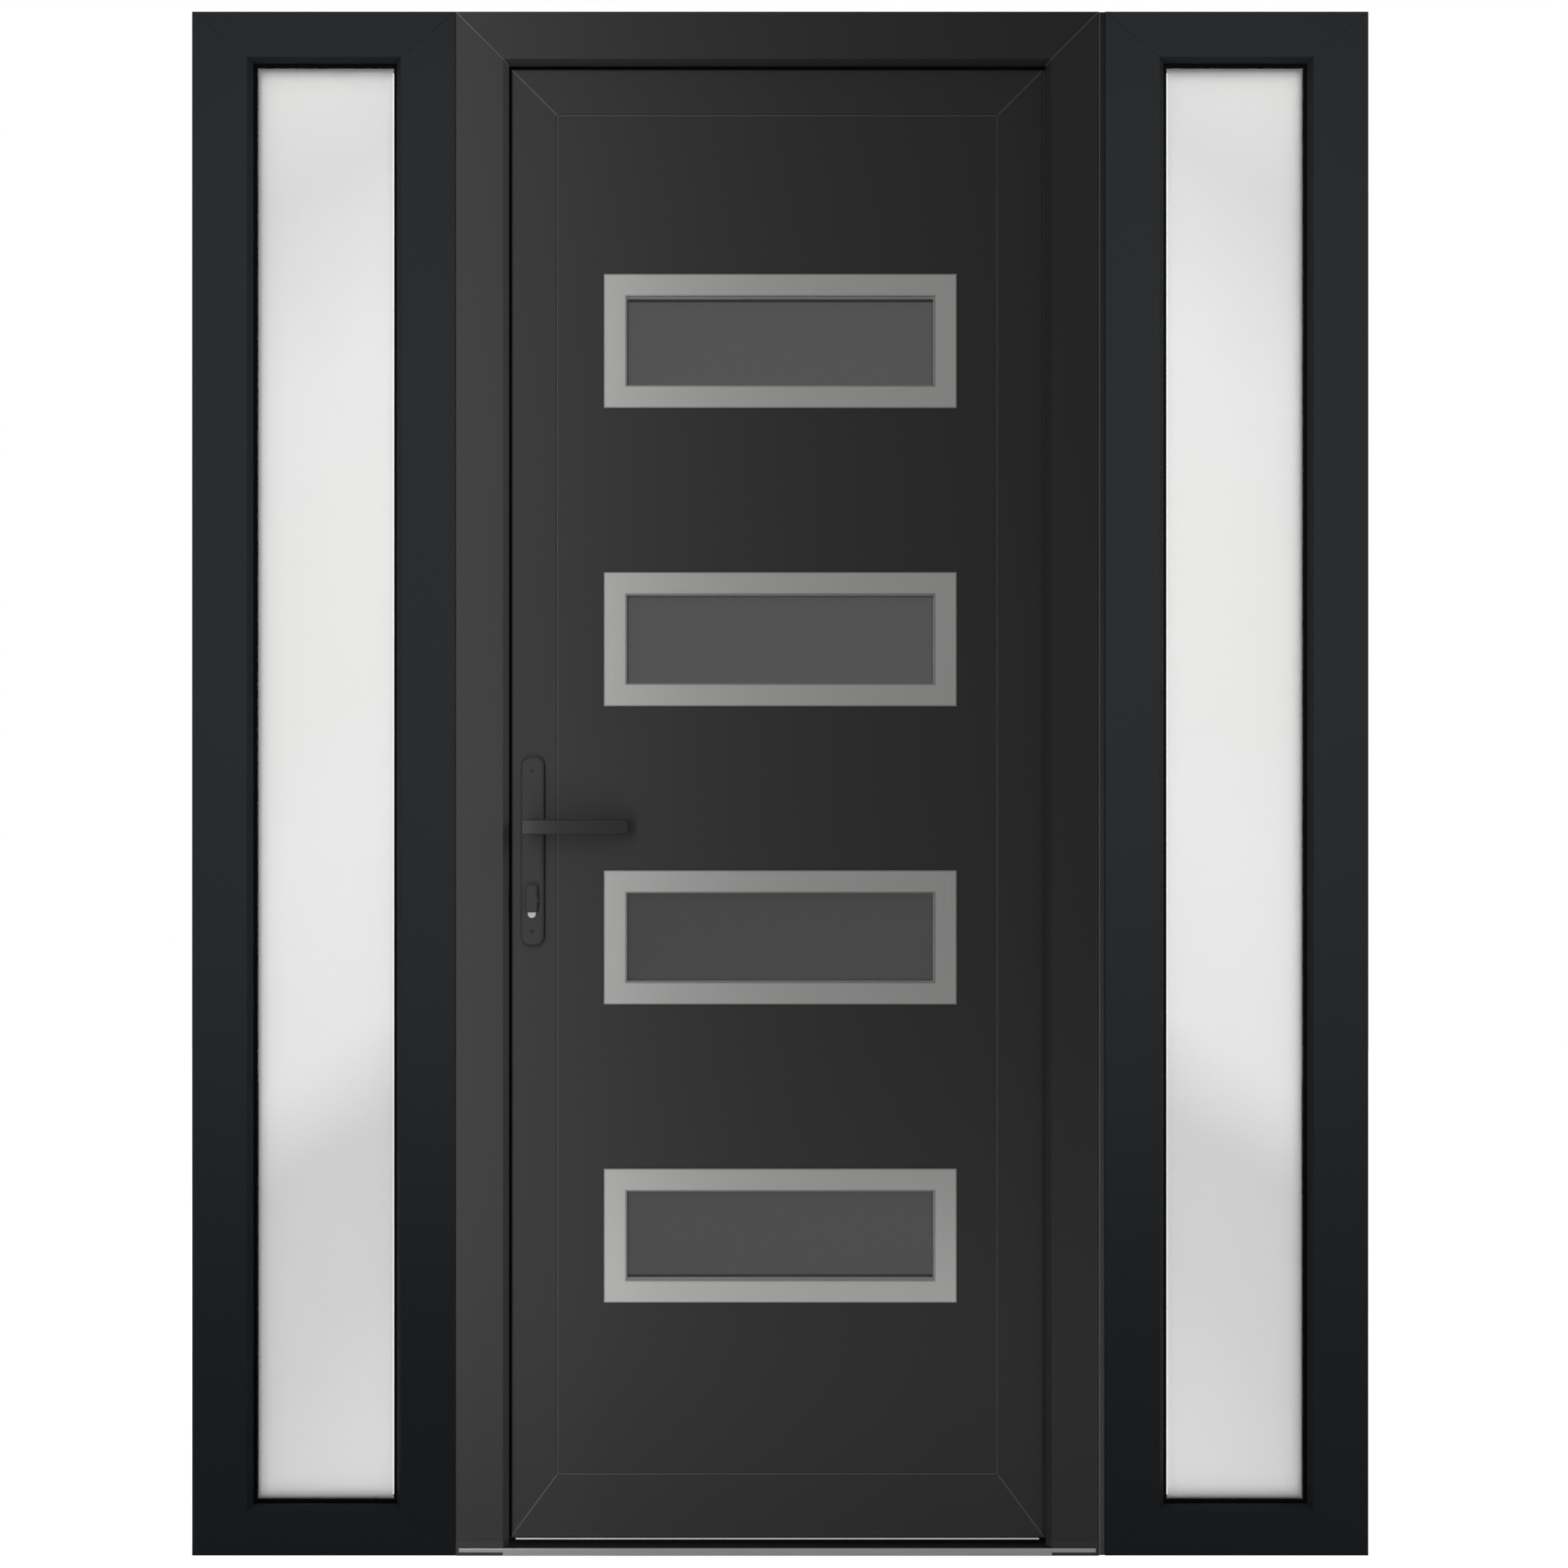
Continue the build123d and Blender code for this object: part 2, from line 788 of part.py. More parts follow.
def lever(outwards):
    """A lever that bends back towards the door: the plan outline crossed with the front outline."""
    sign = -1 if outwards else 1
    seat = leaf_front if outwards else leaf_back
    face = seat + sign * plate_thickness
    outer_y = face + sign * lever_stand_off
    root_y = outer_y - sign * lever_root_thickness
    tip_y = outer_y - sign * lever_drop
    tip_x = lock_x + lever_length
    bend = 2 * math.atan2(lever_drop, lever_length)
    inner_tip = (
        tip_x - lever_tip_thickness * math.sin(bend),
        tip_y - sign * lever_tip_thickness * math.cos(bend),
    )
    end_x = lock_x - neck_radius
    plan = make_face(
        Wire(
            [
                Line((end_x, root_y), (end_x, outer_y)),
                Line((end_x, outer_y), (lock_x, outer_y)),
                TangentArc((lock_x, outer_y), (tip_x, tip_y), tangent=(1, 0)),
                Line((tip_x, tip_y), inner_tip),
                TangentArc((lock_x, root_y), inner_tip, tangent=(1, 0)),
                Line((lock_x, root_y), (end_x, root_y)),
            ]
        )
    )
    low, high = lever_height - lever_rise / 2, lever_height + lever_rise / 2
    arm = upright(plan, (low, high))
    outline = rectangle((end_x, tip_x), (low, high))
    outline = fillet(outline.vertices().group_by(Axis.X)[-1], lever_tip_round)
    reach = (min(outer_y, seat), max(outer_y, seat))
    arm = arm & slab(outline, reach)
    arm = fillet(arm.faces().sort_by(Axis.Y)[0 if outwards else -1].edges(), lever_edge_round)
    neck_end = seat + sign * neck_setback
    neck_root = root_y + sign * neck_embed
    neck = slab(
        Pos(lock_x, lever_height) * Circle(neck_radius),
        (min(neck_end, neck_root), max(neck_end, neck_root)),
    )
    neck -= spindle_box(0)
    return arm + neck


def spindle_box(grow):
    """The square bar that joins the two levers, as far as it reaches into each neck."""
    half = spindle_side / 2 + grow
    outer = leaf_front - neck_setback - spindle_grip
    inner = leaf_back + neck_setback + spindle_grip
    return block((lock_x - half, lock_x + half), (outer, inner), (lever_height - half, lever_height + half))


# The hinges

def frame_hinge(z):
    """The lower half of a hinge: a plate on the frame, an arm, a knuckle and its pin."""
    span = (z - knuckle_height, z - knuckle_gap / 2)
    knuckle = upright(Pos(hinge_x, hinge_y) * Circle(knuckle_radius), span)
    arm = block((hinge_x - knuckle_radius, hinge_x + knuckle_radius), (back, hinge_y), span)
    plate = block(
        (hinge_x - knuckle_radius, hinge_x + hinge_frame_reach),
        (back, back + hinge_plate_thickness),
        span,
    )
    pin = upright(Pos(hinge_x, hinge_y) * Circle(pin_radius), (span[0], z + pin_height))
    knuckle = chamfer(knuckle.edges().filter_by(GeomType.CIRCLE).sort_by(Axis.Z)[0], knuckle_chamfer)
    return knuckle + arm + plate + pin


def leaf_hinge(z):
    """The upper half: a plate on the leaf, and a knuckle that turns on the pin."""
    span = (z + knuckle_gap / 2, z + knuckle_height)
    knuckle = upright(Pos(hinge_x, hinge_y) * Circle(knuckle_radius), span)
    plate = block(
        (hinge_x - knuckle_radius - hinge_plate_reach, hinge_x),
        (leaf_back, leaf_back + hinge_plate_thickness),
        span,
    )
    hole = upright(
        Pos(hinge_x, hinge_y) * Circle(pin_radius + pin_clearance),
        (span[0], z + pin_height + knuckle_gap),
    )
    knuckle = chamfer(knuckle.edges().filter_by(GeomType.CIRCLE).sort_by(Axis.Z)[-1], knuckle_chamfer)
    return knuckle + plate - hole


# Every node, by the name of its file

side_left = unit_left
side_right = side_right_left

nodes = {
    "frame_head": frame_head(),
    "frame_jamb_left": frame_jamb_left(),
    "frame_jamb_right": frame_jamb(frame_right, -1),
    "frame_feet": frame_feet(),
    "frame_gasket": frame_gasket(),
    "frame_packer": frame_packer(),
    "threshold_nose": threshold_nose(),
    "threshold_base": threshold_base(),
    "strike_plate": strike_plate(),
    "frame_hinges": [frame_hinge(z) for z in hinge_heights],
    "leaf_stile_lock": leaf_stile_lock(),
    "leaf_stile_hinge": leaf_stile(leaf_right, -1),
    "leaf_rail_top": leaf_rail_top(),
    "leaf_rail_bottom": leaf_rail_bottom(),
    "leaf_panel": leaf_panel(),
    "leaf_gasket": leaf_gasket(),
    "leaf_bottom_seal": bottom_seal(),
    "leaf_drip_bar": drip_bar(),
    "leaf_hinges": [leaf_hinge(z) for z in hinge_heights],
    "window_trims_outer": [window_trim(z, True) for z in window_heights],
    "window_trims_inner": [window_trim(z, False) for z in window_heights],
    "window_glass": [pane for z in window_heights for pane in window_panes(z)],
    "window_spacers": [window_spacer(z) for z in window_heights],
    "lock_faceplate": lock_faceplate(),
    "latch_and_bolt": latch_and_bolt(),
    "lock_cylinder": lock_cylinder(),
    "handle_plate_outer": handle_plate(True),
    "keyhole_cover": keyhole_cover(),
    "handle_plate_inner": handle_plate(False),
    "lever_outer": lever(True),
    "lever_inner": lever(False),
    "lever_spindle": spindle_box(0),
}

nodes["sidelight_spacers"] = [side_spacer(left) for left in (side_left, side_right)]
nodes["sidelight_gaskets"] = side_gaskets(side_left) + side_gaskets(side_right)
nodes["sidelight_beads"] = [side_beads(left) for left in (side_left, side_right)]

for name, left, outer_side in (("sidelight_left", side_left, 1), ("sidelight_right", side_right, -1)):
    nodes[f"{name}_outer_stile"] = drill_fixings(side_stile(left, outer_side), left, outer_side)
    nodes[f"{name}_inner_stile"] = side_stile(left, -outer_side)
    nodes[f"{name}_head"] = side_rail(left, top, -1)
    nodes[f"{name}_sill"] = side_rail(left, 0, 1)
    nodes[f"{name}_glass"] = side_panes(left)

os.makedirs("parts", exist_ok=True)
for name, shape in nodes.items():
    solid = Compound(children=shape) if isinstance(shape, list) else shape
    export_step(solid, f"parts/{name}.step")
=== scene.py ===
# %% [markdown]
# # An exterior door between two frosted sidelights
# The CAD model already holds every solid of this door at its real size: plastic profiles, an insulated
# panel, slot windows, hinges and a lock. Modelling them again would only let the two drift apart, so
# the lesson loads them as a fixed frame and gives them edges, finishes and the small things that a
# fitter adds.

# %% Load the door
import math

import bpy
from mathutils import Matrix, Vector


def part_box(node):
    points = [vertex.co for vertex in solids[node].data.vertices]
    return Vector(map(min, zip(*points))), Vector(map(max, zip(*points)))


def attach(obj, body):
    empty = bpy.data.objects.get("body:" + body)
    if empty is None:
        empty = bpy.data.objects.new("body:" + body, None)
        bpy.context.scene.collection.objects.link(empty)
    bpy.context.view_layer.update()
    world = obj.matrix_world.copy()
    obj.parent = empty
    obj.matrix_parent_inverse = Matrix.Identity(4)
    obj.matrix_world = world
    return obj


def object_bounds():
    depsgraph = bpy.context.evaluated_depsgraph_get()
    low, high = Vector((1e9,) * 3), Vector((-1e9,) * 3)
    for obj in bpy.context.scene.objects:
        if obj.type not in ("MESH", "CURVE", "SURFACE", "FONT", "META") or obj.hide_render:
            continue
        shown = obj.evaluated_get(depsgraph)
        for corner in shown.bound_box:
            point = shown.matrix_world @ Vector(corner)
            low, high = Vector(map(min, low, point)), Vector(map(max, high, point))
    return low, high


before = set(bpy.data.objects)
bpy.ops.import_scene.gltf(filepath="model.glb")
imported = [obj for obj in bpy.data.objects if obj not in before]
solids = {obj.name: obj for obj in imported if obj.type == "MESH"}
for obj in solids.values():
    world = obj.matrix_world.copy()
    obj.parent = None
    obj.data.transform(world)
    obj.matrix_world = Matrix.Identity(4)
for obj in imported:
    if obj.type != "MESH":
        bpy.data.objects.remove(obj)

cad_low, cad_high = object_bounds()
print("solids:", len(solids), "box:", tuple(cad_low), tuple(cad_high))

# %% [markdown]
# ## Places read from the CAD
# Every addition sits on one of the solids. Reading their boxes keeps the additions in place when a
# size changes in the CAD, which a list of copied numbers would not do.

# %% Boxes and millimetres
MM = 0.001
head_low, head_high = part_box("frame_head")
panel_low, panel_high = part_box("leaf_panel")
top_rail_low, top_rail_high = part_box("leaf_rail_top")
bottom_rail_low, bottom_rail_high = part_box("leaf_rail_bottom")
plate_low, plate_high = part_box("handle_plate_outer")

front = head_low.y
back = head_high.y
unit_top = head_high.z
door_left, door_right = head_low.x, head_high.x
print("door frame:", round(door_right - door_left, 4), "m wide,", round(back - front, 4), "m deep")

# %% [markdown]
# ## Two helpers
# Paint charts and photographs give colours as sRGB, and shaders want linear light. One function turns
# a hex value into linear numbers. The other adds a node, sets its properties, and sets or links its
# sockets, so that a whole material reads as a short list.

# %% Colours and nodes
def linear(hex_colour):
    """An sRGB hex colour as linear red, green, blue and full alpha."""
    channels = [int(hex_colour[i:i + 2], 16) / 255 for i in (1, 3, 5)]
    curve = [c / 12.92 if c <= 0.04045 else ((c + 0.055) / 1.055) ** 2.4 for c in channels]
    return (*curve, 1.0)


def add(tree, kind, settings=None, sockets=None):
    """Adds a node, sets its properties, then sets each socket or links another node to it."""
    node = tree.nodes.new(kind)
    for name, value in (settings or {}).items():
        setattr(node, name, value)
    for name, value in (sockets or {}).items():
        if isinstance(value, bpy.types.NodeSocket):
            tree.links.new(value, node.inputs[name])
        else:
            node.inputs[name].default_value = value
    return node


print("graphite in linear light:", [round(c, 4) for c in linear("#2f2f2f")[:3]])

# %% [markdown]
# ## Foil on plastic profiles
# The frame and the leaf are PVC profiles wrapped in an acrylic foil. A foil is pressed by a steel
# roller, which leaves a fine even grain, and it is matt, so it shows broad soft light and no sharp
# reflection. A real grain is about 0.3 mm apart, too fine for this picture, so it is drawn at 1.6 mm
# and kept very shallow. A slow noise over half a metre gives the small drift in tone that a wide
# sheet of foil always has. The same function makes the graphite foil of the door and the cooler
# anthracite foil of the sidelights.

# %% Foil materials
GRAIN_SPACING = 1.6 * MM
FINE_RELIEF = 0.02 * MM
TONE_PATCH = 500 * MM


def new_material(name):
    """An empty node material and its output node."""
    material = bpy.data.materials.new(name)
    material.use_nodes = True
    material.node_tree.nodes.clear()
    return material, material.node_tree, material.node_tree.nodes.new("ShaderNodeOutputMaterial")


def foil(name, deep, pale, roughness, specular):
    material, tree, output = new_material(name)
    place = add(tree, "ShaderNodeTexCoord").outputs["Object"]
    tone = add(tree, "ShaderNodeTexNoise",
               sockets={"Vector": place, "Scale": 1 / TONE_PATCH, "Detail": 1.0})
    grain = add(tree, "ShaderNodeTexNoise",
                sockets={"Vector": place, "Scale": 1 / GRAIN_SPACING, "Detail": 2.0})
    colour = add(tree, "ShaderNodeMix", {"data_type": "RGBA"},
                 {0: tone.outputs["Fac"], 6: linear(deep), 7: linear(pale)})
    rough = add(tree, "ShaderNodeMapRange",
                sockets={"Value": grain.outputs["Fac"],
                         "To Min": roughness - 0.03, "To Max": roughness + 0.04})
    bump = add(tree, "ShaderNodeBump",
               sockets={"Strength": 0.6, "Distance": FINE_RELIEF, "Height": grain.outputs["Fac"]})
    shader = add(tree, "ShaderNodeBsdfPrincipled", sockets={
        "Base Color": colour.outputs[2], "Roughness": rough.outputs[0],
        "Specular IOR Level": specular, "Normal": bump.outputs[0],
    })
    tree.links.new(shader.outputs[0], output.inputs[0])
    return material


graphite_foil = foil("graphite_foil_on_pvc", "#282828", "#2b2b2b", 0.50, 0.08)
anthracite_foil = foil("anthracite_foil_on_pvc", "#1f2123", "#232527", 0.50, 0.06)
panel_skin = foil("graphite_foil_on_insulated_panel", "#282828", "#2a2a2a", 0.48, 0.08)
foot_plastic = foil("solid_grey_pvc_of_the_feet", "#2d2d2d", "#313131", 0.55, 0.08)
print("foils:", graphite_foil.name, anthracite_foil.name, panel_skin.name)

# %% [markdown]
# ## Brushed stainless steel
# The window trims are stainless steel, ground with a belt along each bar. The belt leaves long fine
# scratches, which stretch the highlight across the bar. The direction turns at the corners, so the
# pattern needs to know which bar a point is on. The distance from the opening, sideways and upwards,
# tells it: the larger one wins, and the change falls on the mitre. Scratches are 0.1 mm apart in
# truth and are drawn at 0.7 mm, so that they show. The edges of the bars roll over and mirror the
# dark door; that reflection is painted, as a darker band of colour along every edge. The walls
# inside the slots are not ground but left with a dull white film.

# %% Brushed steel material
trim_low, trim_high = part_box("window_trims_outer")
glass_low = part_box("window_glass")[0]
WINDOW_COUNT = 4
GLASS_COVER = 10 * MM
OPENING_HALF_HEIGHT = 62 * MM
SCRATCH_SPACING = 0.7 * MM
SCRATCH_LENGTH = 60 * MM
EDGE_BAND = 2.2 * MM
# painted reflection: the tone of the darker band along every edge of a bar
PAINTED_REFLECTION_TONE = 0.58

trim_bar = glass_low.x + GLASS_COVER - trim_low.x
opening_half_width = (trim_high.x - trim_low.x) / 2 - trim_bar
opening_half_height = OPENING_HALF_HEIGHT
window_first = trim_low.z + trim_bar + opening_half_height
window_pitch = (trim_high.z - trim_bar - opening_half_height - window_first) / (WINDOW_COUNT - 1)
window_middle = (trim_low.x + trim_high.x) / 2
print("window pitch:", round(window_pitch, 4), "first at", round(window_first, 4))


def brushed_steel():
    material, tree, output = new_material("belt_brushed_stainless_steel")
    place = add(tree, "ShaderNodeTexCoord").outputs["Object"]
    axes = add(tree, "ShaderNodeSeparateXYZ", sockets={0: place})
    across = add(tree, "ShaderNodeMath", {"operation": "SUBTRACT"}, {0: axes.outputs[0], 1: window_middle})
    sideways = add(tree, "ShaderNodeMath", {"operation": "ABSOLUTE"}, {0: across.outputs[0]})
    beside = add(tree, "ShaderNodeMath", {"operation": "SUBTRACT"},
                 {0: sideways.outputs[0], 1: opening_half_width})
    height = add(tree, "ShaderNodeMath", {"operation": "SUBTRACT"}, {0: axes.outputs[2], 1: window_first})
    wrapped = add(tree, "ShaderNodeMath", {"operation": "WRAP"},
                  {0: height.outputs[0], 1: window_pitch / 2, 2: -window_pitch / 2})
    upwards = add(tree, "ShaderNodeMath", {"operation": "ABSOLUTE"}, {0: wrapped.outputs[0]})
    above = add(tree, "ShaderNodeMath", {"operation": "SUBTRACT"},
                {0: upwards.outputs[0], 1: opening_half_height})
    upright = add(tree, "ShaderNodeMath", {"operation": "GREATER_THAN"},
                  {0: beside.outputs[0], 1: above.outputs[0]})
    outward = add(tree, "ShaderNodeMath", {"operation": "MAXIMUM"},
                  {0: beside.outputs[0], 1: above.outputs[0]})
    from_middle = add(tree, "ShaderNodeMath", {"operation": "SUBTRACT"},
                      {0: outward.outputs[0], 1: trim_bar / 2})
    edge_distance = add(tree, "ShaderNodeMath", {"operation": "ABSOLUTE"}, {0: from_middle.outputs[0]})
    # painted reflection: a darker band along every edge of a bar stands in for the dark door mirrored there
    painted_reflection_band = add(tree, "ShaderNodeMath", {"operation": "GREATER_THAN"},
                 {0: edge_distance.outputs[0], 1: trim_bar / 2 - EDGE_BAND})
    painted_reflection_dimming = add(tree, "ShaderNodeMath", {"operation": "MULTIPLY_ADD"},
                  {0: painted_reflection_band.outputs[0], 1: PAINTED_REFLECTION_TONE - 1, 2: 1.0})
    long, fine = 1 / SCRATCH_LENGTH, 1 / SCRATCH_SPACING
    level_place = add(tree, "ShaderNodeVectorMath", {"operation": "MULTIPLY"},
                      {0: place, 1: (long, fine, fine)})
    upright_place = add(tree, "ShaderNodeVectorMath", {"operation": "MULTIPLY"},
                        {0: place, 1: (fine, fine, long)})
    scratch_place = add(tree, "ShaderNodeMix", {"data_type": "VECTOR"},
                        {0: upright.outputs[0], 4: level_place.outputs[0], 5: upright_place.outputs[0]})
    scratches = add(tree, "ShaderNodeTexNoise",
                    sockets={"Vector": scratch_place.outputs[1], "Scale": 1.0, "Detail": 3.0})
    colour = add(tree, "ShaderNodeMix", {"data_type": "RGBA"},
                 {0: scratches.outputs["Fac"], 6: linear("#6a6a69"), 7: linear("#747473")})
    colour_with_painted_reflection = add(tree, "ShaderNodeVectorMath", {"operation": "SCALE"},
                 {0: colour.outputs[2], "Scale": painted_reflection_dimming.outputs[0]})
    inside = add(tree, "ShaderNodeMath", {"operation": "GREATER_THAN"},
                 {0: axes.outputs[1], 1: trim_low.y + EDGE_BAND})
    polish = add(tree, "ShaderNodeMath", {"operation": "SUBTRACT"}, {0: 1.0, 1: inside.outputs[0]})
    finish = add(tree, "ShaderNodeMix", {"data_type": "RGBA"},
                 {0: inside.outputs[0], 6: colour_with_painted_reflection.outputs[0], 7: linear("#c2c2c2")})
    rough = add(tree, "ShaderNodeMapRange",
                sockets={"Value": scratches.outputs["Fac"], "To Min": 0.38, "To Max": 0.50})
    bump = add(tree, "ShaderNodeBump",
               sockets={"Strength": 0.3, "Distance": FINE_RELIEF, "Height": scratches.outputs["Fac"]})
    shader = add(tree, "ShaderNodeBsdfPrincipled", sockets={
        "Base Color": finish.outputs[2], "Metallic": polish.outputs[0], "Roughness": rough.outputs[0],
        "Anisotropic": 0.4, "Normal": bump.outputs[0],
    })
    tree.links.new(shader.outputs[0], output.inputs[0])
    return material


trim_steel = brushed_steel()
print("trim:", trim_steel.name)

# %% [markdown]
# ## Aluminium, zinc and nickel
# Three more metals are small but close to the eye. The threshold nose and the drip bar are anodised
# aluminium, drawn through a die, which leaves faint lines along the bar. The faceplate, the strike
# plate and the bolts are zinc plated steel, with the soft clouds of a plating bath. The cylinder is
# nickel plated brass. They share one recipe: a metal, a tone that drifts, and a roughness that
# follows the same noise, stretched along the bar where the metal was drawn.

# %% Plain metals
def plain_metal(name, deep, pale, roughness, stretch):
    """Stretch gives the pattern's size in metres along X, Y and Z."""
    material, tree, output = new_material(name)
    place = add(tree, "ShaderNodeTexCoord").outputs["Object"]
    sized = add(tree, "ShaderNodeVectorMath", {"operation": "DIVIDE"}, {0: place, 1: stretch})
    marks = add(tree, "ShaderNodeTexNoise", sockets={"Vector": sized.outputs[0], "Scale": 1.0, "Detail": 3.0})
    colour = add(tree, "ShaderNodeMix", {"data_type": "RGBA"},
                 {0: marks.outputs["Fac"], 6: linear(deep), 7: linear(pale)})
    rough = add(tree, "ShaderNodeMapRange",
                sockets={"Value": marks.outputs["Fac"],
                         "To Min": roughness - 0.06, "To Max": roughness + 0.06})
    bump = add(tree, "ShaderNodeBump",
               sockets={"Strength": 0.3, "Distance": FINE_RELIEF, "Height": marks.outputs["Fac"]})
    shader = add(tree, "ShaderNodeBsdfPrincipled", sockets={
        "Base Color": colour.outputs[2], "Metallic": 1.0, "Roughness": rough.outputs[0],
        "Normal": bump.outputs[0],
    })
    tree.links.new(shader.outputs[0], output.inputs[0])
    return material


DRAWN_ALONG_X = (80 * MM, 0.8 * MM, 0.8 * MM)
PLATING_CLOUD = (6 * MM, 6 * MM, 6 * MM)
threshold_metal = plain_metal("anodised_drawn_aluminium", "#676969", "#747676", 0.36, DRAWN_ALONG_X)
drip_metal = plain_metal("clear_anodised_drip_bar", "#8a8c8c", "#9b9d9d", 0.36, DRAWN_ALONG_X)
lock_metal = plain_metal("zinc_plated_steel", "#9fa1a4", "#b4b6b8", 0.34, PLATING_CLOUD)
cylinder_metal = plain_metal("satin_nickel_plated_brass", "#a9a69f", "#b3b0a9", 0.28, PLATING_CLOUD)
spacer_metal = plain_metal("mill_finish_aluminium_spacer", "#8e9092", "#9c9ea0", 0.45, PLATING_CLOUD)
print("metals:", threshold_metal.name, lock_metal.name, cylinder_metal.name, spacer_metal.name)

# %% [markdown]
# ## Powder coat on the fittings
# Handle plates, levers and hinges are die cast and powder coated. The powder melts into a skin with a
# very fine pimple, softer than a foil's grain, which shows as a broken edge to each highlight. A
# Voronoi pattern makes round pimples where noise would make ridges. Hands have rubbed the levers, so
# theirs is darker and glossier, and fades more from root to tip.

# %% Powder coat material
PIMPLE_SPACING = 1.2 * MM


def powder_coat(name, deep, pale, roughness, specular):
    material, tree, output = new_material(name)
    place = add(tree, "ShaderNodeTexCoord").outputs["Object"]
    pimples = add(tree, "ShaderNodeTexVoronoi", {"feature": "SMOOTH_F1"},
                  {"Vector": place, "Scale": 1 / PIMPLE_SPACING, "Smoothness": 0.7})
    colour = add(tree, "ShaderNodeMix", {"data_type": "RGBA"},
                 {0: pimples.outputs["Distance"], 6: linear(deep), 7: linear(pale)})
    bump = add(tree, "ShaderNodeBump",
               sockets={"Strength": 0.4, "Distance": FINE_RELIEF, "Height": pimples.outputs["Distance"]})
    shader = add(tree, "ShaderNodeBsdfPrincipled", sockets={
        "Base Color": colour.outputs[2], "Roughness": roughness, "Specular IOR Level": specular,
        "Normal": bump.outputs[0],
    })
    tree.links.new(shader.outputs[0], output.inputs[0])
    return material


fitting_coat = powder_coat("fine_texture_powder_coat", "#2c2c2c", "#303030", 0.50, 0.04)
lever_coat = powder_coat("satin_powder_coat_of_the_levers", "#1a1a1a", "#1e1e1e", 0.38, 0.20)
print("fittings:", fitting_coat.name, lever_coat.name)

# %% [markdown]
# ## Extruded rubber and plain black PVC
# Seals are EPDM rubber pushed through a die: almost black, with faint lines along their length and a
# dull bloom. The threshold's base is the same black all over but harder and smoother.

# %% Rubber and base materials
def dull_black(name, deep, pale, roughness, spacing, specular=0.2):
    material, tree, output = new_material(name)
    place = add(tree, "ShaderNodeTexCoord").outputs["Object"]
    bloom = add(tree, "ShaderNodeTexNoise", sockets={"Vector": place, "Scale": 1 / spacing, "Detail": 3.0})
    colour = add(tree, "ShaderNodeMix", {"data_type": "RGBA"},
                 {0: bloom.outputs["Fac"], 6: linear(deep), 7: linear(pale)})
    rough = add(tree, "ShaderNodeMapRange",
                sockets={"Value": bloom.outputs["Fac"],
                         "To Min": roughness - 0.05, "To Max": roughness + 0.08})
    shader = add(tree, "ShaderNodeBsdfPrincipled", sockets={
        "Base Color": colour.outputs[2], "Roughness": rough.outputs[0], "Specular IOR Level": specular,
    })
    tree.links.new(shader.outputs[0], output.inputs[0])
    return material


seal_rubber = dull_black("extruded_epdm_rubber", "#060606", "#0a0a0a", 0.75, 5 * MM, 0.03)
base_plastic = dull_black("black_pvc_threshold_base", "#141414", "#1a1a1a", 0.50, 8 * MM)
print("blacks:", seal_rubber.name, base_plastic.name)

# %% [markdown]
# ## The seal behind the stop
# This seal is black rubber too. The photograph shows it as a black line along the top and the lock
# side, and shows no dark line down the hinge side, which faces the light from the left. A lamp of
# its own for one leg of a seal would be much trouble. The leg gets a paler tone here instead, up to
# just below the corner.

# %% Stop seal
PALE_LEG_TONE = "#464646"
PALE_LEG_CENTRE = 6 * MM
PALE_LEG_REACH = 8 * MM
PALE_LEG_TOP = 14 * MM


def stop_seal():
    material = dull_black("epdm_rubber_behind_the_stop", "#060606", "#0a0a0a", 0.75, 5 * MM, 0.03)
    tree = material.node_tree
    shader = next(node for node in tree.nodes if node.type == "BSDF_PRINCIPLED")
    black = shader.inputs["Base Color"].links[0].from_socket
    low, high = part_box("frame_gasket")
    place = add(tree, "ShaderNodeTexCoord").outputs["Object"]
    axes = add(tree, "ShaderNodeSeparateXYZ", sockets={0: place})
    on_leg = add(tree, "ShaderNodeMath", {"operation": "COMPARE"},
                 {0: axes.outputs[0], 1: high.x - PALE_LEG_CENTRE, 2: PALE_LEG_REACH})
    below_corner = add(tree, "ShaderNodeMath", {"operation": "LESS_THAN"},
                       {0: axes.outputs[2], 1: high.z - PALE_LEG_TOP})
    both = add(tree, "ShaderNodeMath", {"operation": "MULTIPLY"},
               {0: on_leg.outputs[0], 1: below_corner.outputs[0]})
    colour = add(tree, "ShaderNodeMix", {"data_type": "RGBA"},
                 {0: both.outputs[0], 6: black, 7: linear(PALE_LEG_TONE)})
    tree.links.new(colour.outputs[2], shader.inputs["Base Color"])
    return material


stop_rubber = stop_seal()
print("stop seal:", stop_rubber.name)

# %% [markdown]
# ## Grey glass in the slots
# The leaf's slots have grey tinted glass that is etched on its inner face. The outer face is smooth,
# so it mirrors the white room evenly, apart from a crisp dark strip along the top and bottom edges
# where it mirrors the trim. A clear coat over a dark satin base does both. The grain of an acid etch
# is under 0.1 mm, and is drawn at 2.2 mm to show.

# %% Grey glass
ETCH_SPACING = 2.2 * MM
ETCH_DEPTH = 0.08 * MM
GLASS_IOR = 1.52


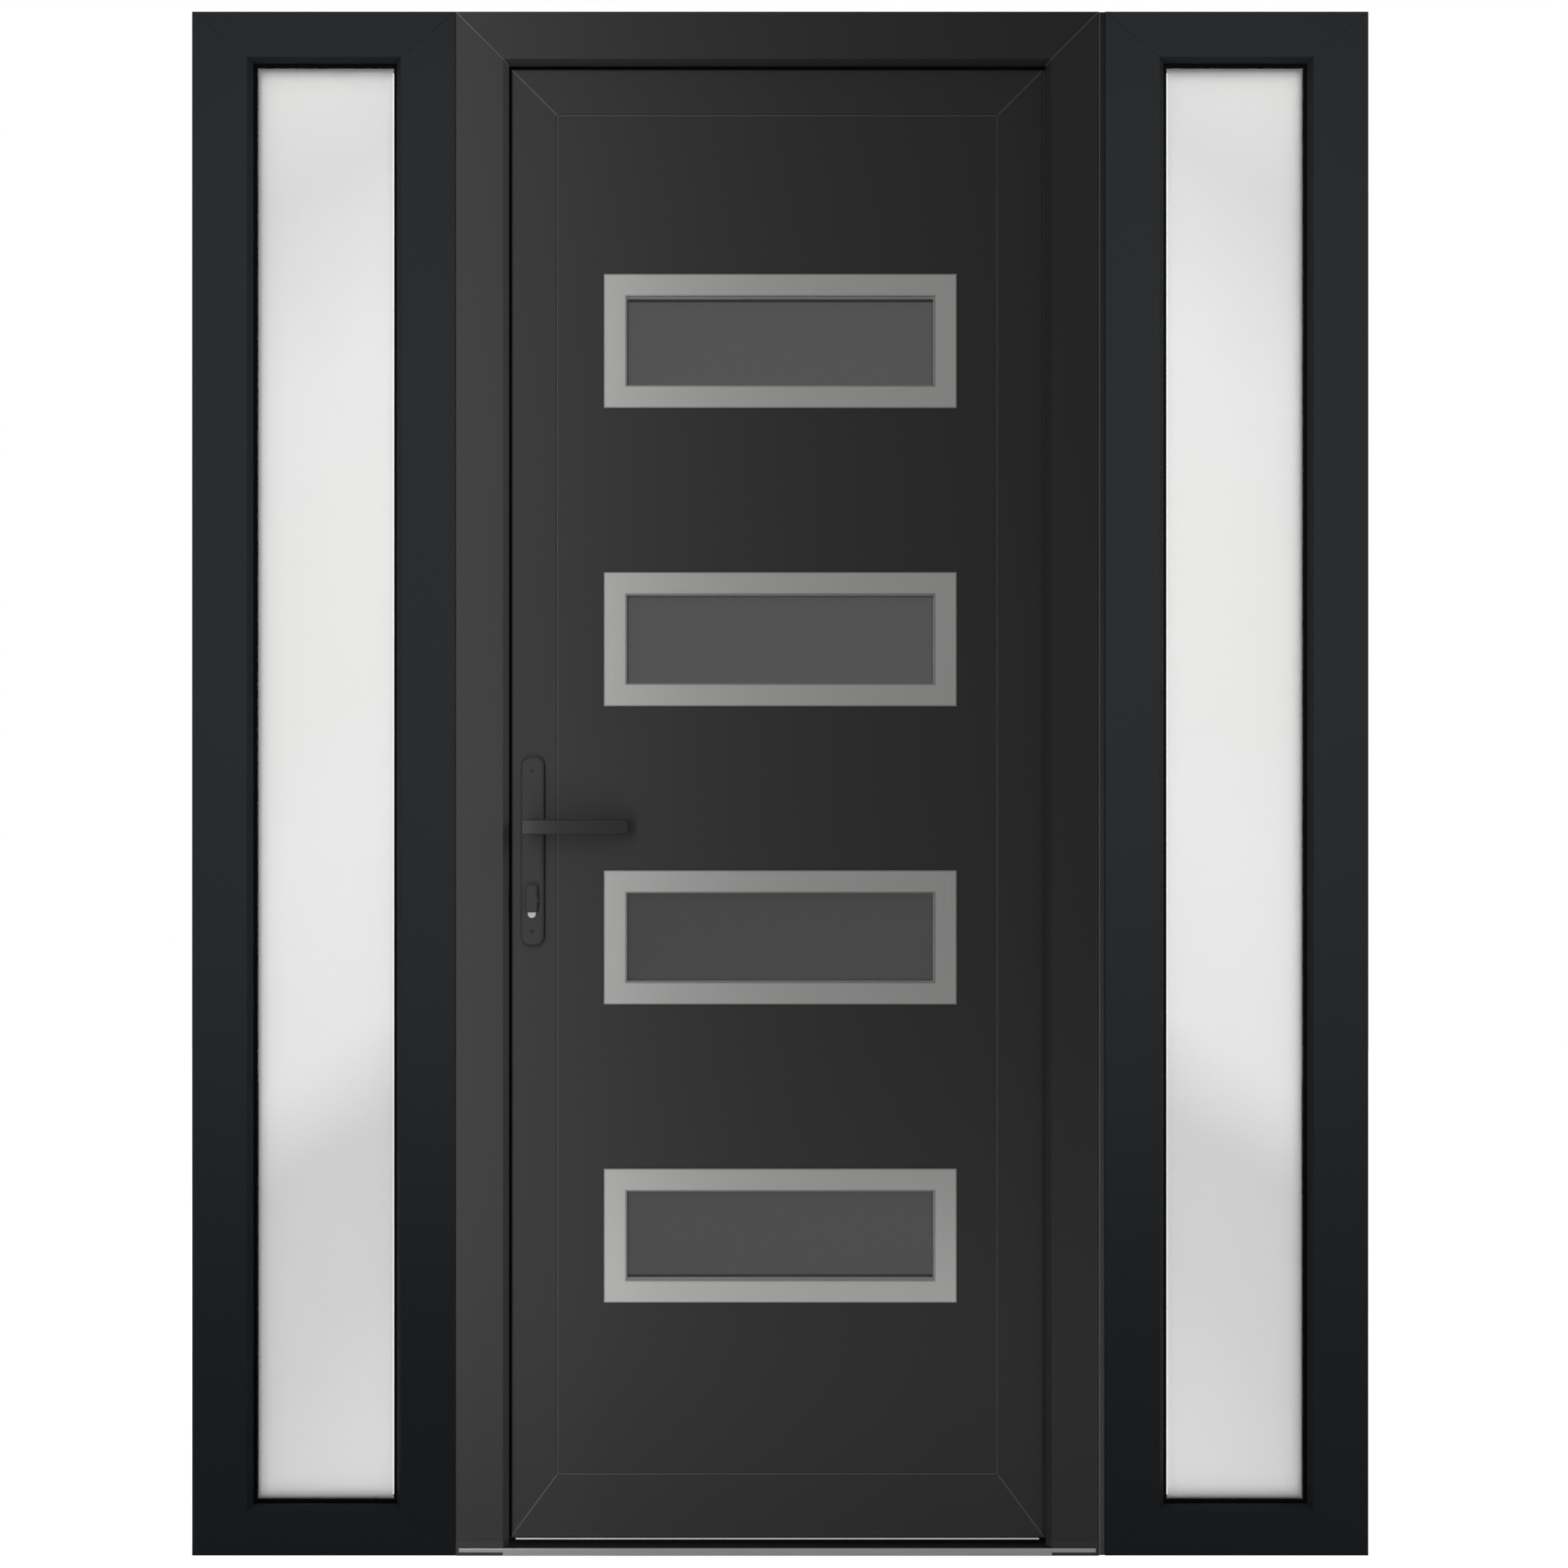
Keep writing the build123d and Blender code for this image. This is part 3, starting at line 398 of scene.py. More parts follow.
def etched_glass():
    material, tree, output = new_material("etched_grey_tinted_glass")
    place = add(tree, "ShaderNodeTexCoord").outputs["Object"]
    etch = add(tree, "ShaderNodeTexNoise",
               sockets={"Vector": place, "Scale": 1 / ETCH_SPACING, "Detail": 3.0})
    colour = add(tree, "ShaderNodeMix", {"data_type": "RGBA"},
                 {0: etch.outputs["Fac"], 6: linear("#3a3a3a"), 7: linear("#464646")})
    bump = add(tree, "ShaderNodeBump",
               sockets={"Strength": 0.5, "Distance": ETCH_DEPTH, "Height": etch.outputs["Fac"]})
    shader = add(tree, "ShaderNodeBsdfPrincipled", sockets={
        "Base Color": colour.outputs[2], "Roughness": 0.55, "IOR": GLASS_IOR, "Specular IOR Level": 0.1,
        "Coat Weight": 1.0, "Coat Roughness": 0.03, "Coat IOR": GLASS_IOR, "Normal": bump.outputs[0],
    })
    tree.links.new(shader.outputs[0], output.inputs[0])
    return material


dark_glass = etched_glass()
print("slot glass:", dark_glass.name)

# %% [markdown]
# ## White glass in the sidelights
# The sidelights have frosted laminated glass. Its milky layer scatters light, so it looks lit from
# within: most of what shows is the room behind, blurred beyond recognition, and the rest is its own
# paleness. The photograph shows it palest at mid-height and a step greyer below knee height, with a
# soft edge between them that slants up towards the door on both sides. That greyer part is painted
# shade in the film's colour: a ramp over the height gives it, tilted by the distance from the door,
# and a slow noise bends it. The ramp is paler again at the very top, a painted light against the
# head's shade. The film stops a hair short of the seal all round, and the clear glass there shows as
# a thin bright line.

# %% White glass
SHADE_EDGE_PATCH = 450 * MM
SHADE_EDGE_WANDER = 90 * MM
SHADE_EDGE_SLANT = 0.68
CLEAR_MARGIN = 2.6 * MM
SIDE_REACH = 83 * MM
SIDE_RAIL_REACH = 69.5 * MM
SIDE_SIGHT = 4.3 * MM
side_low, side_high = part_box("sidelight_right_head")
side_middle = (side_low.x + side_high.x) / 2
film_half_width = (side_high.x - side_low.x) / 2 - SIDE_REACH - SIDE_SIGHT - CLEAR_MARGIN
film_half_height = unit_top / 2 - SIDE_RAIL_REACH - SIDE_SIGHT - CLEAR_MARGIN
# the pale milk tone, with painted shade below knee height and painted light at the very top
milk_and_painted_shade_tones = [
    (0.00, "#e9e9e9"), (0.05, "#e8e8e8"), (0.14, "#e2e2e2"), (0.25, "#e1e1e1"), (0.31, "#eeeeee"),
    (0.38, "#efefef"), (0.46, "#f0f0f0"), (0.62, "#eeeeed"), (0.77, "#ebebeb"), (0.90, "#e2e2e2"),
    (1.00, "#eaeae9"),
]


def milk_layer():
    material, tree, output = new_material("frosted_laminated_glass")
    place = add(tree, "ShaderNodeTexCoord").outputs["Object"]
    mirrored = add(tree, "ShaderNodeVectorMath", {"operation": "ABSOLUTE"}, {0: place})
    axes = add(tree, "ShaderNodeSeparateXYZ", sockets={0: mirrored.outputs[0]})
    height = axes.outputs[2]
    outward = add(tree, "ShaderNodeMath", {"operation": "SUBTRACT"}, {0: axes.outputs[0], 1: side_middle})
    clouds = add(tree, "ShaderNodeTexNoise",
                 sockets={"Vector": mirrored.outputs[0], "Scale": 1 / SHADE_EDGE_PATCH, "Detail": 2.0})
    wander = add(tree, "ShaderNodeMath", {"operation": "MULTIPLY_ADD"},
                 {0: clouds.outputs["Fac"], 1: 2 * SHADE_EDGE_WANDER, 2: -SHADE_EDGE_WANDER})
    slanted = add(tree, "ShaderNodeMath", {"operation": "MULTIPLY_ADD"},
                  {0: outward.outputs[0], 1: SHADE_EDGE_SLANT, 2: height})
    level = add(tree, "ShaderNodeMath", {"operation": "ADD"}, {0: slanted.outputs[0], 1: wander.outputs[0]})
    share = add(tree, "ShaderNodeMapRange",
                sockets={"Value": level.outputs[0], "From Min": cad_low.z, "From Max": cad_high.z})
    ramp = add(tree, "ShaderNodeValToRGB", sockets={0: share.outputs[0]})
    steps = ramp.color_ramp.elements
    while len(steps) < len(milk_and_painted_shade_tones):
        steps.new(0.5)
    for step, (position, tone) in zip(steps, milk_and_painted_shade_tones):
        step.position = position
        step.color = linear(tone)
    film = add(tree, "ShaderNodeBsdfPrincipled", sockets={
        "Base Color": ramp.outputs[0], "Roughness": 0.5, "IOR": GLASS_IOR, "Transmission Weight": 0.97,
        "Specular IOR Level": 0.25,
    })
    clear = add(tree, "ShaderNodeBsdfPrincipled", sockets={
        "Base Color": linear("#ffffff"), "Roughness": 0.02, "IOR": GLASS_IOR, "Transmission Weight": 1.0,
    })
    aside = add(tree, "ShaderNodeMath", {"operation": "ABSOLUTE"}, {0: outward.outputs[0]})
    beside_film = add(tree, "ShaderNodeMath", {"operation": "GREATER_THAN"},
                      {0: aside.outputs[0], 1: film_half_width})
    off_middle = add(tree, "ShaderNodeMath", {"operation": "SUBTRACT"}, {0: height, 1: unit_top / 2})
    far_up = add(tree, "ShaderNodeMath", {"operation": "ABSOLUTE"}, {0: off_middle.outputs[0]})
    above_film = add(tree, "ShaderNodeMath", {"operation": "GREATER_THAN"},
                     {0: far_up.outputs[0], 1: film_half_height})
    bare = add(tree, "ShaderNodeMath", {"operation": "MAXIMUM"},
               {0: beside_film.outputs[0], 1: above_film.outputs[0]})
    shader = add(tree, "ShaderNodeMixShader",
                 sockets={0: bare.outputs[0], 1: film.outputs[0], 2: clear.outputs[0]})
    tree.links.new(shader.outputs[0], output.inputs[0])
    return material


milk_glass = milk_layer()
print("sidelight glass:", milk_glass.name, "with", len(milk_and_painted_shade_tones), "tones")

# %% [markdown]
# ## The packer strip
# A narrow strip of bare grey plastic fills the gap between the door and the right sidelight. It lies
# deeper than the frame. The photograph shows it darker than the frame under the head and paler than
# the frame near the ground. A ramp over its height paints that: painted shade in the recess under
# the head, and painted light near the ground.

# %% Packer plastic
PACKER_SHADED_TOP = "#1f1f1f"
PACKER_LIT_BOTTOM = "#3c3c3c"
DUST_STREAK = 40 * MM


def packer():
    material, tree, output = new_material("bare_grey_packer_plastic")
    place = add(tree, "ShaderNodeTexCoord").outputs["Object"]
    height = add(tree, "ShaderNodeSeparateXYZ", sockets={0: place}).outputs[2]
    streaks = add(tree, "ShaderNodeTexNoise",
                  sockets={"Vector": place, "Scale": 1 / DUST_STREAK, "Detail": 2.0})
    share = add(tree, "ShaderNodeMapRange",
                sockets={"Value": height, "From Min": cad_low.z, "From Max": cad_high.z})
    # painted shade under the head, painted light near the ground
    colour = add(tree, "ShaderNodeMix", {"data_type": "RGBA"},
                 {0: share.outputs[0], 6: linear(PACKER_LIT_BOTTOM), 7: linear(PACKER_SHADED_TOP)})
    rough = add(tree, "ShaderNodeMapRange",
                sockets={"Value": streaks.outputs["Fac"], "To Min": 0.45, "To Max": 0.60})
    shader = add(tree, "ShaderNodeBsdfPrincipled", sockets={
        "Base Color": colour.outputs[2], "Roughness": rough.outputs[0], "Specular IOR Level": 0.1,
    })
    tree.links.new(shader.outputs[0], output.inputs[0])
    return material


packer_plastic = packer()
print("packer:", packer_plastic.name)

# %% [markdown]
# ## A finish for every solid
# Each solid takes its material by the piece that it is. CAD edges are perfectly sharp, and a real
# profile has a radius of a few tenths of a millimetre that catches a line of light. Weld joins the
# loose triangles, a planar Decimate turns each flat side back into one face, Bevel rounds only the
# square corners, and Weighted Normal keeps the large faces flat. Without the second step, the bevel
# bends the long thin triangles of a flat side, and they show as streaks. Where two mitred bars meet,
# the two rounded edges also make the fine groove of a real joint.

# %% Dress the solids
finishes = {
    graphite_foil: ["frame_head", "frame_jamb_left", "frame_jamb_right",
                    "leaf_stile_lock", "leaf_stile_hinge", "leaf_rail_top", "leaf_rail_bottom"],
    foot_plastic: ["frame_feet"],
    packer_plastic: ["frame_packer"],
    panel_skin: ["leaf_panel"],
    anthracite_foil: ["sidelight_beads"] + [
        f"sidelight_{side}_{bar}" for side in ("left", "right")
        for bar in ("head", "sill", "outer_stile", "inner_stile")
    ],
    trim_steel: ["window_trims_outer", "window_trims_inner"],
    threshold_metal: ["threshold_nose"],
    drip_metal: ["leaf_drip_bar"],
    base_plastic: ["threshold_base"],
    stop_rubber: ["frame_gasket"],
    seal_rubber: ["leaf_gasket", "leaf_bottom_seal", "sidelight_gaskets"],
    fitting_coat: ["frame_hinges", "leaf_hinges", "handle_plate_outer", "handle_plate_inner",
                   "keyhole_cover"],
    lever_coat: ["lever_outer", "lever_inner"],
    lock_metal: ["lock_faceplate", "latch_and_bolt", "strike_plate", "lever_spindle"],
    cylinder_metal: ["lock_cylinder"],
    spacer_metal: ["window_spacers", "sidelight_spacers"],
    dark_glass: ["window_glass"],
    milk_glass: ["sidelight_left_glass", "sidelight_right_glass"],
}
EDGE_ROUND = {graphite_foil: 0.5 * MM, anthracite_foil: 0.5 * MM, panel_skin: 0.3 * MM,
              foot_plastic: 0.3 * MM, packer_plastic: 0.5 * MM,
              trim_steel: 0.25 * MM, threshold_metal: 0.3 * MM, drip_metal: 0.3 * MM,
              fitting_coat: 0.3 * MM, lever_coat: 0.3 * MM, lock_metal: 0.25 * MM}
SQUARE_CORNER = math.radians(40)
FLAT_SIDE = math.radians(0.5)


def dress(solid, material, radius):
    solid.data.materials.clear()
    solid.data.materials.append(material)
    weld = solid.modifiers.new("join_triangles", "WELD")
    weld.merge_threshold = 0.01 * MM
    if not radius:
        return
    sides = solid.modifiers.new("one_face_a_side", "DECIMATE")
    sides.decimate_type = "DISSOLVE"
    sides.angle_limit = FLAT_SIDE
    edges = solid.modifiers.new("round_edges", "BEVEL")
    edges.width = radius
    edges.segments = 2
    edges.limit_method = "ANGLE"
    edges.angle_limit = SQUARE_CORNER
    flat = solid.modifiers.new("flat_faces", "WEIGHTED_NORMAL")
    flat.weight = 100


for material, names in finishes.items():
    for name in names:
        dress(solids[name], material, EDGE_ROUND.get(material, 0))
undressed = set(solids) - {name for names in finishes.values() for name in names}
print("dressed:", sum(len(names) for names in finishes.values()), "left bare:", sorted(undressed))

# %% [markdown]
# ## A bead that follows a path
# Several fine things on this door are a thin round line along a path: the scar where two profiles
# were welded at a mitre, and the lip of each seal. A curve with a bevel would do for one of them.
# Geometry Nodes serve better here, because one tree takes any number of paths in a single mesh of
# edges and turns all of them into one closed piece.

# %% The bead tree
def make_bead_tree():
    tree = bpy.data.node_groups.new("bead_along_paths", "GeometryNodeTree")
    tree.interface.new_socket("Paths", in_out="INPUT", socket_type="NodeSocketGeometry")
    tree.interface.new_socket("Bead Radius", in_out="INPUT", socket_type="NodeSocketFloat")
    tree.interface.new_socket("Corner Radius", in_out="INPUT", socket_type="NodeSocketFloat")
    tree.interface.new_socket("Finish", in_out="INPUT", socket_type="NodeSocketMaterial")
    tree.interface.new_socket("Bead", in_out="OUTPUT", socket_type="NodeSocketGeometry")
    given = add(tree, "NodeGroupInput").outputs
    curves = add(tree, "GeometryNodeMeshToCurve", sockets={"Mesh": given["Paths"]})
    rounded = add(tree, "GeometryNodeFilletCurve",
                  sockets={"Curve": curves.outputs[0], "Radius": given["Corner Radius"],
                           "Limit Radius": True})
    profile = add(tree, "GeometryNodeCurvePrimitiveCircle",
                  sockets={"Resolution": 10, "Radius": given["Bead Radius"]})
    swept = add(tree, "GeometryNodeCurveToMesh",
                sockets={"Curve": rounded.outputs[0], "Profile Curve": profile.outputs[0],
                         "Fill Caps": True})
    real = add(tree, "GeometryNodeRealizeInstances", sockets={0: swept.outputs[0]})
    finished = add(tree, "GeometryNodeSetMaterial",
                   sockets={"Geometry": real.outputs[0], "Material": given["Finish"]})
    add(tree, "NodeGroupOutput", sockets={"Bead": finished.outputs[0]})
    return tree


bead_tree = make_bead_tree()
print("bead tree:", len(bead_tree.nodes), "nodes")

# %% [markdown]
# ## From a tree to a plain piece
# A tree needs an object to work on, and the finished model needs a plain mesh. This function makes
# the object, sets each named input by its socket's identifier, takes the evaluated mesh, removes the
# modifier, and only then lets the piece ride on its body of the door.

# %% Run a tree
def grow(name, tree, source, values, body):
    """Runs a tree on a source mesh and keeps the result as a plain piece that rides on a body."""
    piece = bpy.data.objects.new(name, source)
    bpy.context.scene.collection.objects.link(piece)
    modifier = piece.modifiers.new("grow", "NODES")
    modifier.node_group = tree
    for item in tree.interface.items_tree:
        if item.in_out == "INPUT" and item.name in values:
            modifier[item.identifier] = values[item.name]
    evaluated = piece.evaluated_get(bpy.context.evaluated_depsgraph_get())
    mesh = bpy.data.meshes.new_from_object(evaluated)
    piece.modifiers.clear()
    piece.data = mesh
    mesh.name = name
    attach(piece, body)
    print(name + ":", len(mesh.polygons), "faces on", body)
    return piece


def paths_mesh(name, paths):
    """A mesh of edges: each path is a list of points and whether it closes."""
    points, edges = [], []
    for path, closed in paths:
        start = len(points)
        points += path
        edges += [(start + i, start + i + 1) for i in range(len(path) - 1)]
        if closed:
            edges.append((start + len(path) - 1, start))
    mesh = bpy.data.meshes.new(name)
    mesh.from_pydata(points, edges, [])
    return mesh


# %% [markdown]
# ## Weld scars at the mitres
# Plastic profiles are cut at an angle and melted together at each corner. The bead that squeezes out
# is cut off with a knife. The scar is drawn a shade paler than the foil, a painted highlight along
# the joint. On this door it is the clearest line on the frame's top corners and on all four corners
# of the leaf. A round bead sunk to most of its depth leaves just a low flat scar.

# %% Weld scars
SCAR_TONE_PATCH = 12 * MM


def scar_painted_highlight_material():
    material, tree, output = new_material("pvc_mitre_joint_painted_highlight")
    place = add(tree, "ShaderNodeTexCoord").outputs["Object"]
    patches = add(tree, "ShaderNodeTexNoise",
                  sockets={"Vector": place, "Scale": 1 / SCAR_TONE_PATCH, "Detail": 2.0})
    # painted highlight: a grey well above the foil's
    colour = add(tree, "ShaderNodeMix", {"data_type": "RGBA"},
                 {0: patches.outputs["Fac"], 6: linear("#4a4a4a"), 7: linear("#525252")})
    shader = add(tree, "ShaderNodeBsdfPrincipled", sockets={
        "Base Color": colour.outputs[2], "Roughness": 0.55, "Specular IOR Level": 0.15,
    })
    tree.links.new(shader.outputs[0], output.inputs[0])
    return material


mitre_scar_painted_highlight = scar_painted_highlight_material()
SCAR_RADIUS = 1.1 * MM
SCAR_SINK = 0.86 * MM
FACE_WIDTH = 66 * MM
BEVEL_WIDTH = 7 * MM
BEVEL_DEPTH = 10 * MM
SASH_WIDTH = 76.5 * MM
BOTTOM_RAIL = 88.7 * MM
BOTTOM_SETBACK = 10.5 * MM
INDOOR_FACE_WIDTH = 51 * MM
BEAD_END = 1.5 * MM

frame_scars = []
for edge, inward in ((door_left, 1), (door_right, -1)):
    sunk = front + SCAR_SINK
    frame_scars.append(([
        (edge + inward * BEAD_END, sunk, unit_top - BEAD_END),
        (edge + inward * FACE_WIDTH, sunk, unit_top - FACE_WIDTH),
        (edge + inward * (FACE_WIDTH + BEVEL_WIDTH), sunk + BEVEL_DEPTH,
         unit_top - FACE_WIDTH - BEVEL_WIDTH),
    ], False))
    frame_scars.append(([
        (edge + inward * BEAD_END, back - SCAR_SINK, unit_top - BEAD_END),
        (edge + inward * INDOOR_FACE_WIDTH, back - SCAR_SINK, unit_top - INDOOR_FACE_WIDTH),
    ], False))
frame_weld_scars = grow(
    "frame_weld_scars", bead_tree, paths_mesh("frame_scar_paths", frame_scars),
    {"Bead Radius": SCAR_RADIUS, "Corner Radius": 0.0, "Finish": mitre_scar_painted_highlight}, "frame")

leaf_left, leaf_right = bottom_rail_low.x - BOTTOM_SETBACK, bottom_rail_high.x + BOTTOM_SETBACK
leaf_bottom = bottom_rail_low.z
flange = leaf_left - top_rail_low.x
leaf_top = top_rail_high.z - flange
leaf_front, leaf_back = top_rail_low.y, top_rail_high.y
leaf_scars = []
for edge, inward in ((leaf_left, 1), (leaf_right, -1)):
    inner = edge + inward * SASH_WIDTH
    for y, overlap in ((leaf_front + SCAR_SINK, 0), (leaf_back - SCAR_SINK, flange)):
        leaf_scars.append(([
            (edge + inward * (BEAD_END - overlap), y, leaf_top - BEAD_END + overlap),
            (inner, y, leaf_top - SASH_WIDTH),
        ], False))
        leaf_scars.append(([
            (edge + inward * (BOTTOM_SETBACK + BEAD_END), y, leaf_bottom + BEAD_END),
            (inner, y, leaf_bottom + BOTTOM_RAIL),
        ], False))
leaf_weld_scars = grow(
    "leaf_weld_scars", bead_tree, paths_mesh("leaf_scar_paths", leaf_scars),
    {"Bead Radius": SCAR_RADIUS, "Corner Radius": 0.0, "Finish": mitre_scar_painted_highlight}, "leaf")

# %% [markdown]
# ## Seal between the sash and the panel
# The panel is clamped in the sash between soft grey lips that are extruded with the profile. Their
# grey is set pale, a painted highlight, so that they show as one fine light line round the panel, on
# both sides of the door. It is the same bead again, closed on itself, and lies a hair below the sash.

# %% Panel seal
# painted highlight: the lips' pale grey draws the light line round the panel
panel_lip_painted_highlight = dull_black("grey_panel_lip_painted_highlight", "#424242", "#4a4a4a", 0.6, 20 * MM)
PANEL_LIP_RADIUS = 0.8 * MM
PANEL_LIP_SINK = 0.3 * MM
panel_lips = []
for y in (leaf_front + PANEL_LIP_SINK + PANEL_LIP_RADIUS, leaf_back - PANEL_LIP_SINK - PANEL_LIP_RADIUS):
    panel_lips.append(([(panel_low.x, y, panel_low.z), (panel_low.x, y, panel_high.z),
                        (panel_high.x, y, panel_high.z), (panel_high.x, y, panel_low.z)], True))
leaf_panel_seal = grow(
    "leaf_panel_seal", bead_tree, paths_mesh("panel_lip_paths", panel_lips),
    {"Bead Radius": PANEL_LIP_RADIUS, "Corner Radius": 1.5 * MM, "Finish": panel_lip_painted_highlight},
    "leaf")

# %% [markdown]
# ## Lip of the packer
# The packer strip has a thin lip where it meets the door frame, drawn pale as a painted highlight.
# In the photograph it is a fine light line down the whole right side of the door.

# %% Packer lip
# painted highlight: the lip's pale grey
packer_lip_highlight_paint = dull_black("packer_lip_painted_highlight", "#6a6a6a", "#747474", 0.6, 20 * MM)
packer_low, packer_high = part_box("frame_packer")
packer_lip_x = packer_low.x + PANEL_LIP_RADIUS
packer_lip_y = packer_low.y + PANEL_LIP_SINK
packer_lip_path = [([(packer_lip_x, packer_lip_y, packer_low.z + BEAD_END),
                     (packer_lip_x, packer_lip_y, packer_high.z - BEAD_END)], False)]
frame_packer_lip = grow(
    "frame_packer_lip", bead_tree, paths_mesh("packer_lip_path", packer_lip_path),
    {"Bead Radius": PANEL_LIP_RADIUS, "Corner Radius": 0.0, "Finish": packer_lip_highlight_paint},
    "frame")

# %% [markdown]
# ## Lips of the seals
# An extruded seal ends in a soft round lip, which is what touches the glass or the door. The CAD
# solids give each seal its plain body. The lip is one more bead, with almost sharp corners, because
# these seals are cut at a mitre as the profiles are.

# %% Seal lips
gasket_low, gasket_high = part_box("frame_gasket")
LIP_RADIUS = 1.4 * MM
LIP_CORNER = 0.6 * MM
LIP_OVER_BEAD = 0.4
LIP_INTO_SEAL = 0.7
SIGHT = 76.5 * MM

lip_y = gasket_high.y - LIP_RADIUS
reach = SIGHT - LIP_RADIUS
frame_lip = [([
    (door_left + reach, lip_y, gasket_low.z),
    (door_left + reach, lip_y, unit_top - reach),
    (door_right - reach, lip_y, unit_top - reach),
    (door_right - reach, lip_y, gasket_low.z),
], False)]

for side in ("left", "right"):
    low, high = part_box(f"sidelight_{side}_head")
    pane_low, pane_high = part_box(f"sidelight_{side}_glass")
    inset = SIDE_SIGHT - LIP_RADIUS * LIP_OVER_BEAD
    lift = LIP_RADIUS * LIP_INTO_SEAL
    for y in (pane_low.y - lift, pane_high.y + lift):
        x_low, x_high = low.x + SIDE_REACH + inset, high.x - SIDE_REACH - inset
        z_low, z_high = SIDE_RAIL_REACH + inset, unit_top - SIDE_RAIL_REACH - inset
        frame_lip.append(([(x_low, y, z_low), (x_low, y, z_high),
                           (x_high, y, z_high), (x_high, y, z_low)], True))
frame_seal_lips = grow(
    "frame_seal_lips", bead_tree, paths_mesh("lip_paths", frame_lip),
    {"Bead Radius": LIP_RADIUS, "Corner Radius": LIP_CORNER, "Finish": stop_rubber},
    "frame")

# %% [markdown]
# ## Screws
# The faceplate, the strike plate, the hinges and the handle plates are screwed on. A screw is made
# once inside the tree, with its cross cut out by a boolean, and stands at every point that the
# source mesh gives. The way each point faces is stored on it as an attribute, which turns the screw.

# %% The screw tree
CROWN_SHARE = 0.8
CROSS_LENGTH = 1.1
CROSS_WIDTH = 0.24


def make_screw_tree():
    tree = bpy.data.node_groups.new("screws_at_points", "GeometryNodeTree")
    tree.interface.new_socket("Points", in_out="INPUT", socket_type="NodeSocketGeometry")
    tree.interface.new_socket("Head Radius", in_out="INPUT", socket_type="NodeSocketFloat")
    tree.interface.new_socket("Head Height", in_out="INPUT", socket_type="NodeSocketFloat")
    tree.interface.new_socket("Finish", in_out="INPUT", socket_type="NodeSocketMaterial")
    tree.interface.new_socket("Screws", in_out="OUTPUT", socket_type="NodeSocketGeometry")
    given = add(tree, "NodeGroupInput").outputs
    crown = add(tree, "ShaderNodeMath", {"operation": "MULTIPLY"}, {0: given["Head Radius"], 1: CROWN_SHARE})
    head = add(tree, "GeometryNodeMeshCone", sockets={
        "Vertices": 20, "Radius Top": crown.outputs[0], "Radius Bottom": given["Head Radius"],
        "Depth": given["Head Height"],
    })
    length = add(tree, "ShaderNodeMath", {"operation": "MULTIPLY"},
                 {0: given["Head Radius"], 1: CROSS_LENGTH})
    width = add(tree, "ShaderNodeMath", {"operation": "MULTIPLY"},
                {0: given["Head Radius"], 1: CROSS_WIDTH})
    one_arm = add(tree, "ShaderNodeCombineXYZ", sockets={0: length.outputs[0], 1: width.outputs[0],
                                                        2: given["Head Height"]})
    other_arm = add(tree, "ShaderNodeCombineXYZ", sockets={0: width.outputs[0], 1: length.outputs[0],
                                                          2: given["Head Height"]})
    lift = add(tree, "ShaderNodeCombineXYZ", sockets={2: given["Head Height"]})
    arms = [add(tree, "GeometryNodeMeshCube", sockets={"Size": arm.outputs[0]})
            for arm in (one_arm, other_arm)]
    raised = [add(tree, "GeometryNodeTransform",
                  sockets={"Geometry": arm.outputs[0], "Translation": lift.outputs[0]}) for arm in arms]
    cut = add(tree, "GeometryNodeMeshBoolean", {"operation": "DIFFERENCE"}, {0: head.outputs[0]})
    for arm in raised:
        tree.links.new(arm.outputs[0], cut.inputs[1])
    facing = add(tree, "GeometryNodeInputNamedAttribute", {"data_type": "FLOAT_VECTOR"},
                 {"Name": "facing"})
    turn = add(tree, "FunctionNodeAlignRotationToVector", {"axis": "Z"}, {"Vector": facing.outputs[0]})
    points = add(tree, "GeometryNodeMeshToPoints", sockets={"Mesh": given["Points"]})
    placed = add(tree, "GeometryNodeInstanceOnPoints", sockets={
        "Points": points.outputs[0], "Instance": cut.outputs[0], "Rotation": turn.outputs[0],
    })
    real = add(tree, "GeometryNodeRealizeInstances", sockets={0: placed.outputs[0]})
    finished = add(tree, "GeometryNodeSetMaterial",
                   sockets={"Geometry": real.outputs[0], "Material": given["Finish"]})
    add(tree, "NodeGroupOutput", sockets={"Screws": finished.outputs[0]})
    return tree


screw_tree = make_screw_tree()


def points_mesh(name, places):
    """A mesh of loose points, each with the way it faces."""
    mesh = bpy.data.meshes.new(name)
    mesh.from_pydata([place for place, facing in places], [], [])
    facing = mesh.attributes.new("facing", "FLOAT_VECTOR", "POINT")
    for item, (place, way) in zip(facing.data, places):
        item.vector = way
    return mesh


print("screw tree:", len(screw_tree.nodes), "nodes")

# %% Screws on the lock, the hinges and the handle
HEAD_RADIUS = 3.4 * MM
HEAD_HEIGHT = 0.5 * MM
faceplate_low, faceplate_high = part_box("lock_faceplate")
strike_low, strike_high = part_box("strike_plate")
hinge_low, hinge_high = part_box("leaf_hinges")
frame_hinge_low, frame_hinge_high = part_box("frame_hinges")
KNUCKLE_HEIGHT = 45 * MM
HINGE_PLATE = 4 * MM
HINGES = 3
FACEPLATE_SCREWS = 7
FACEPLATE_MARGIN = 0.12
SCREW_HEIGHTS = (0.25, 0.75)
LEAF_HINGE_INSET = 11 * MM
FRAME_HINGE_INSET = 8 * MM
STRIKE_INSET = 14 * MM

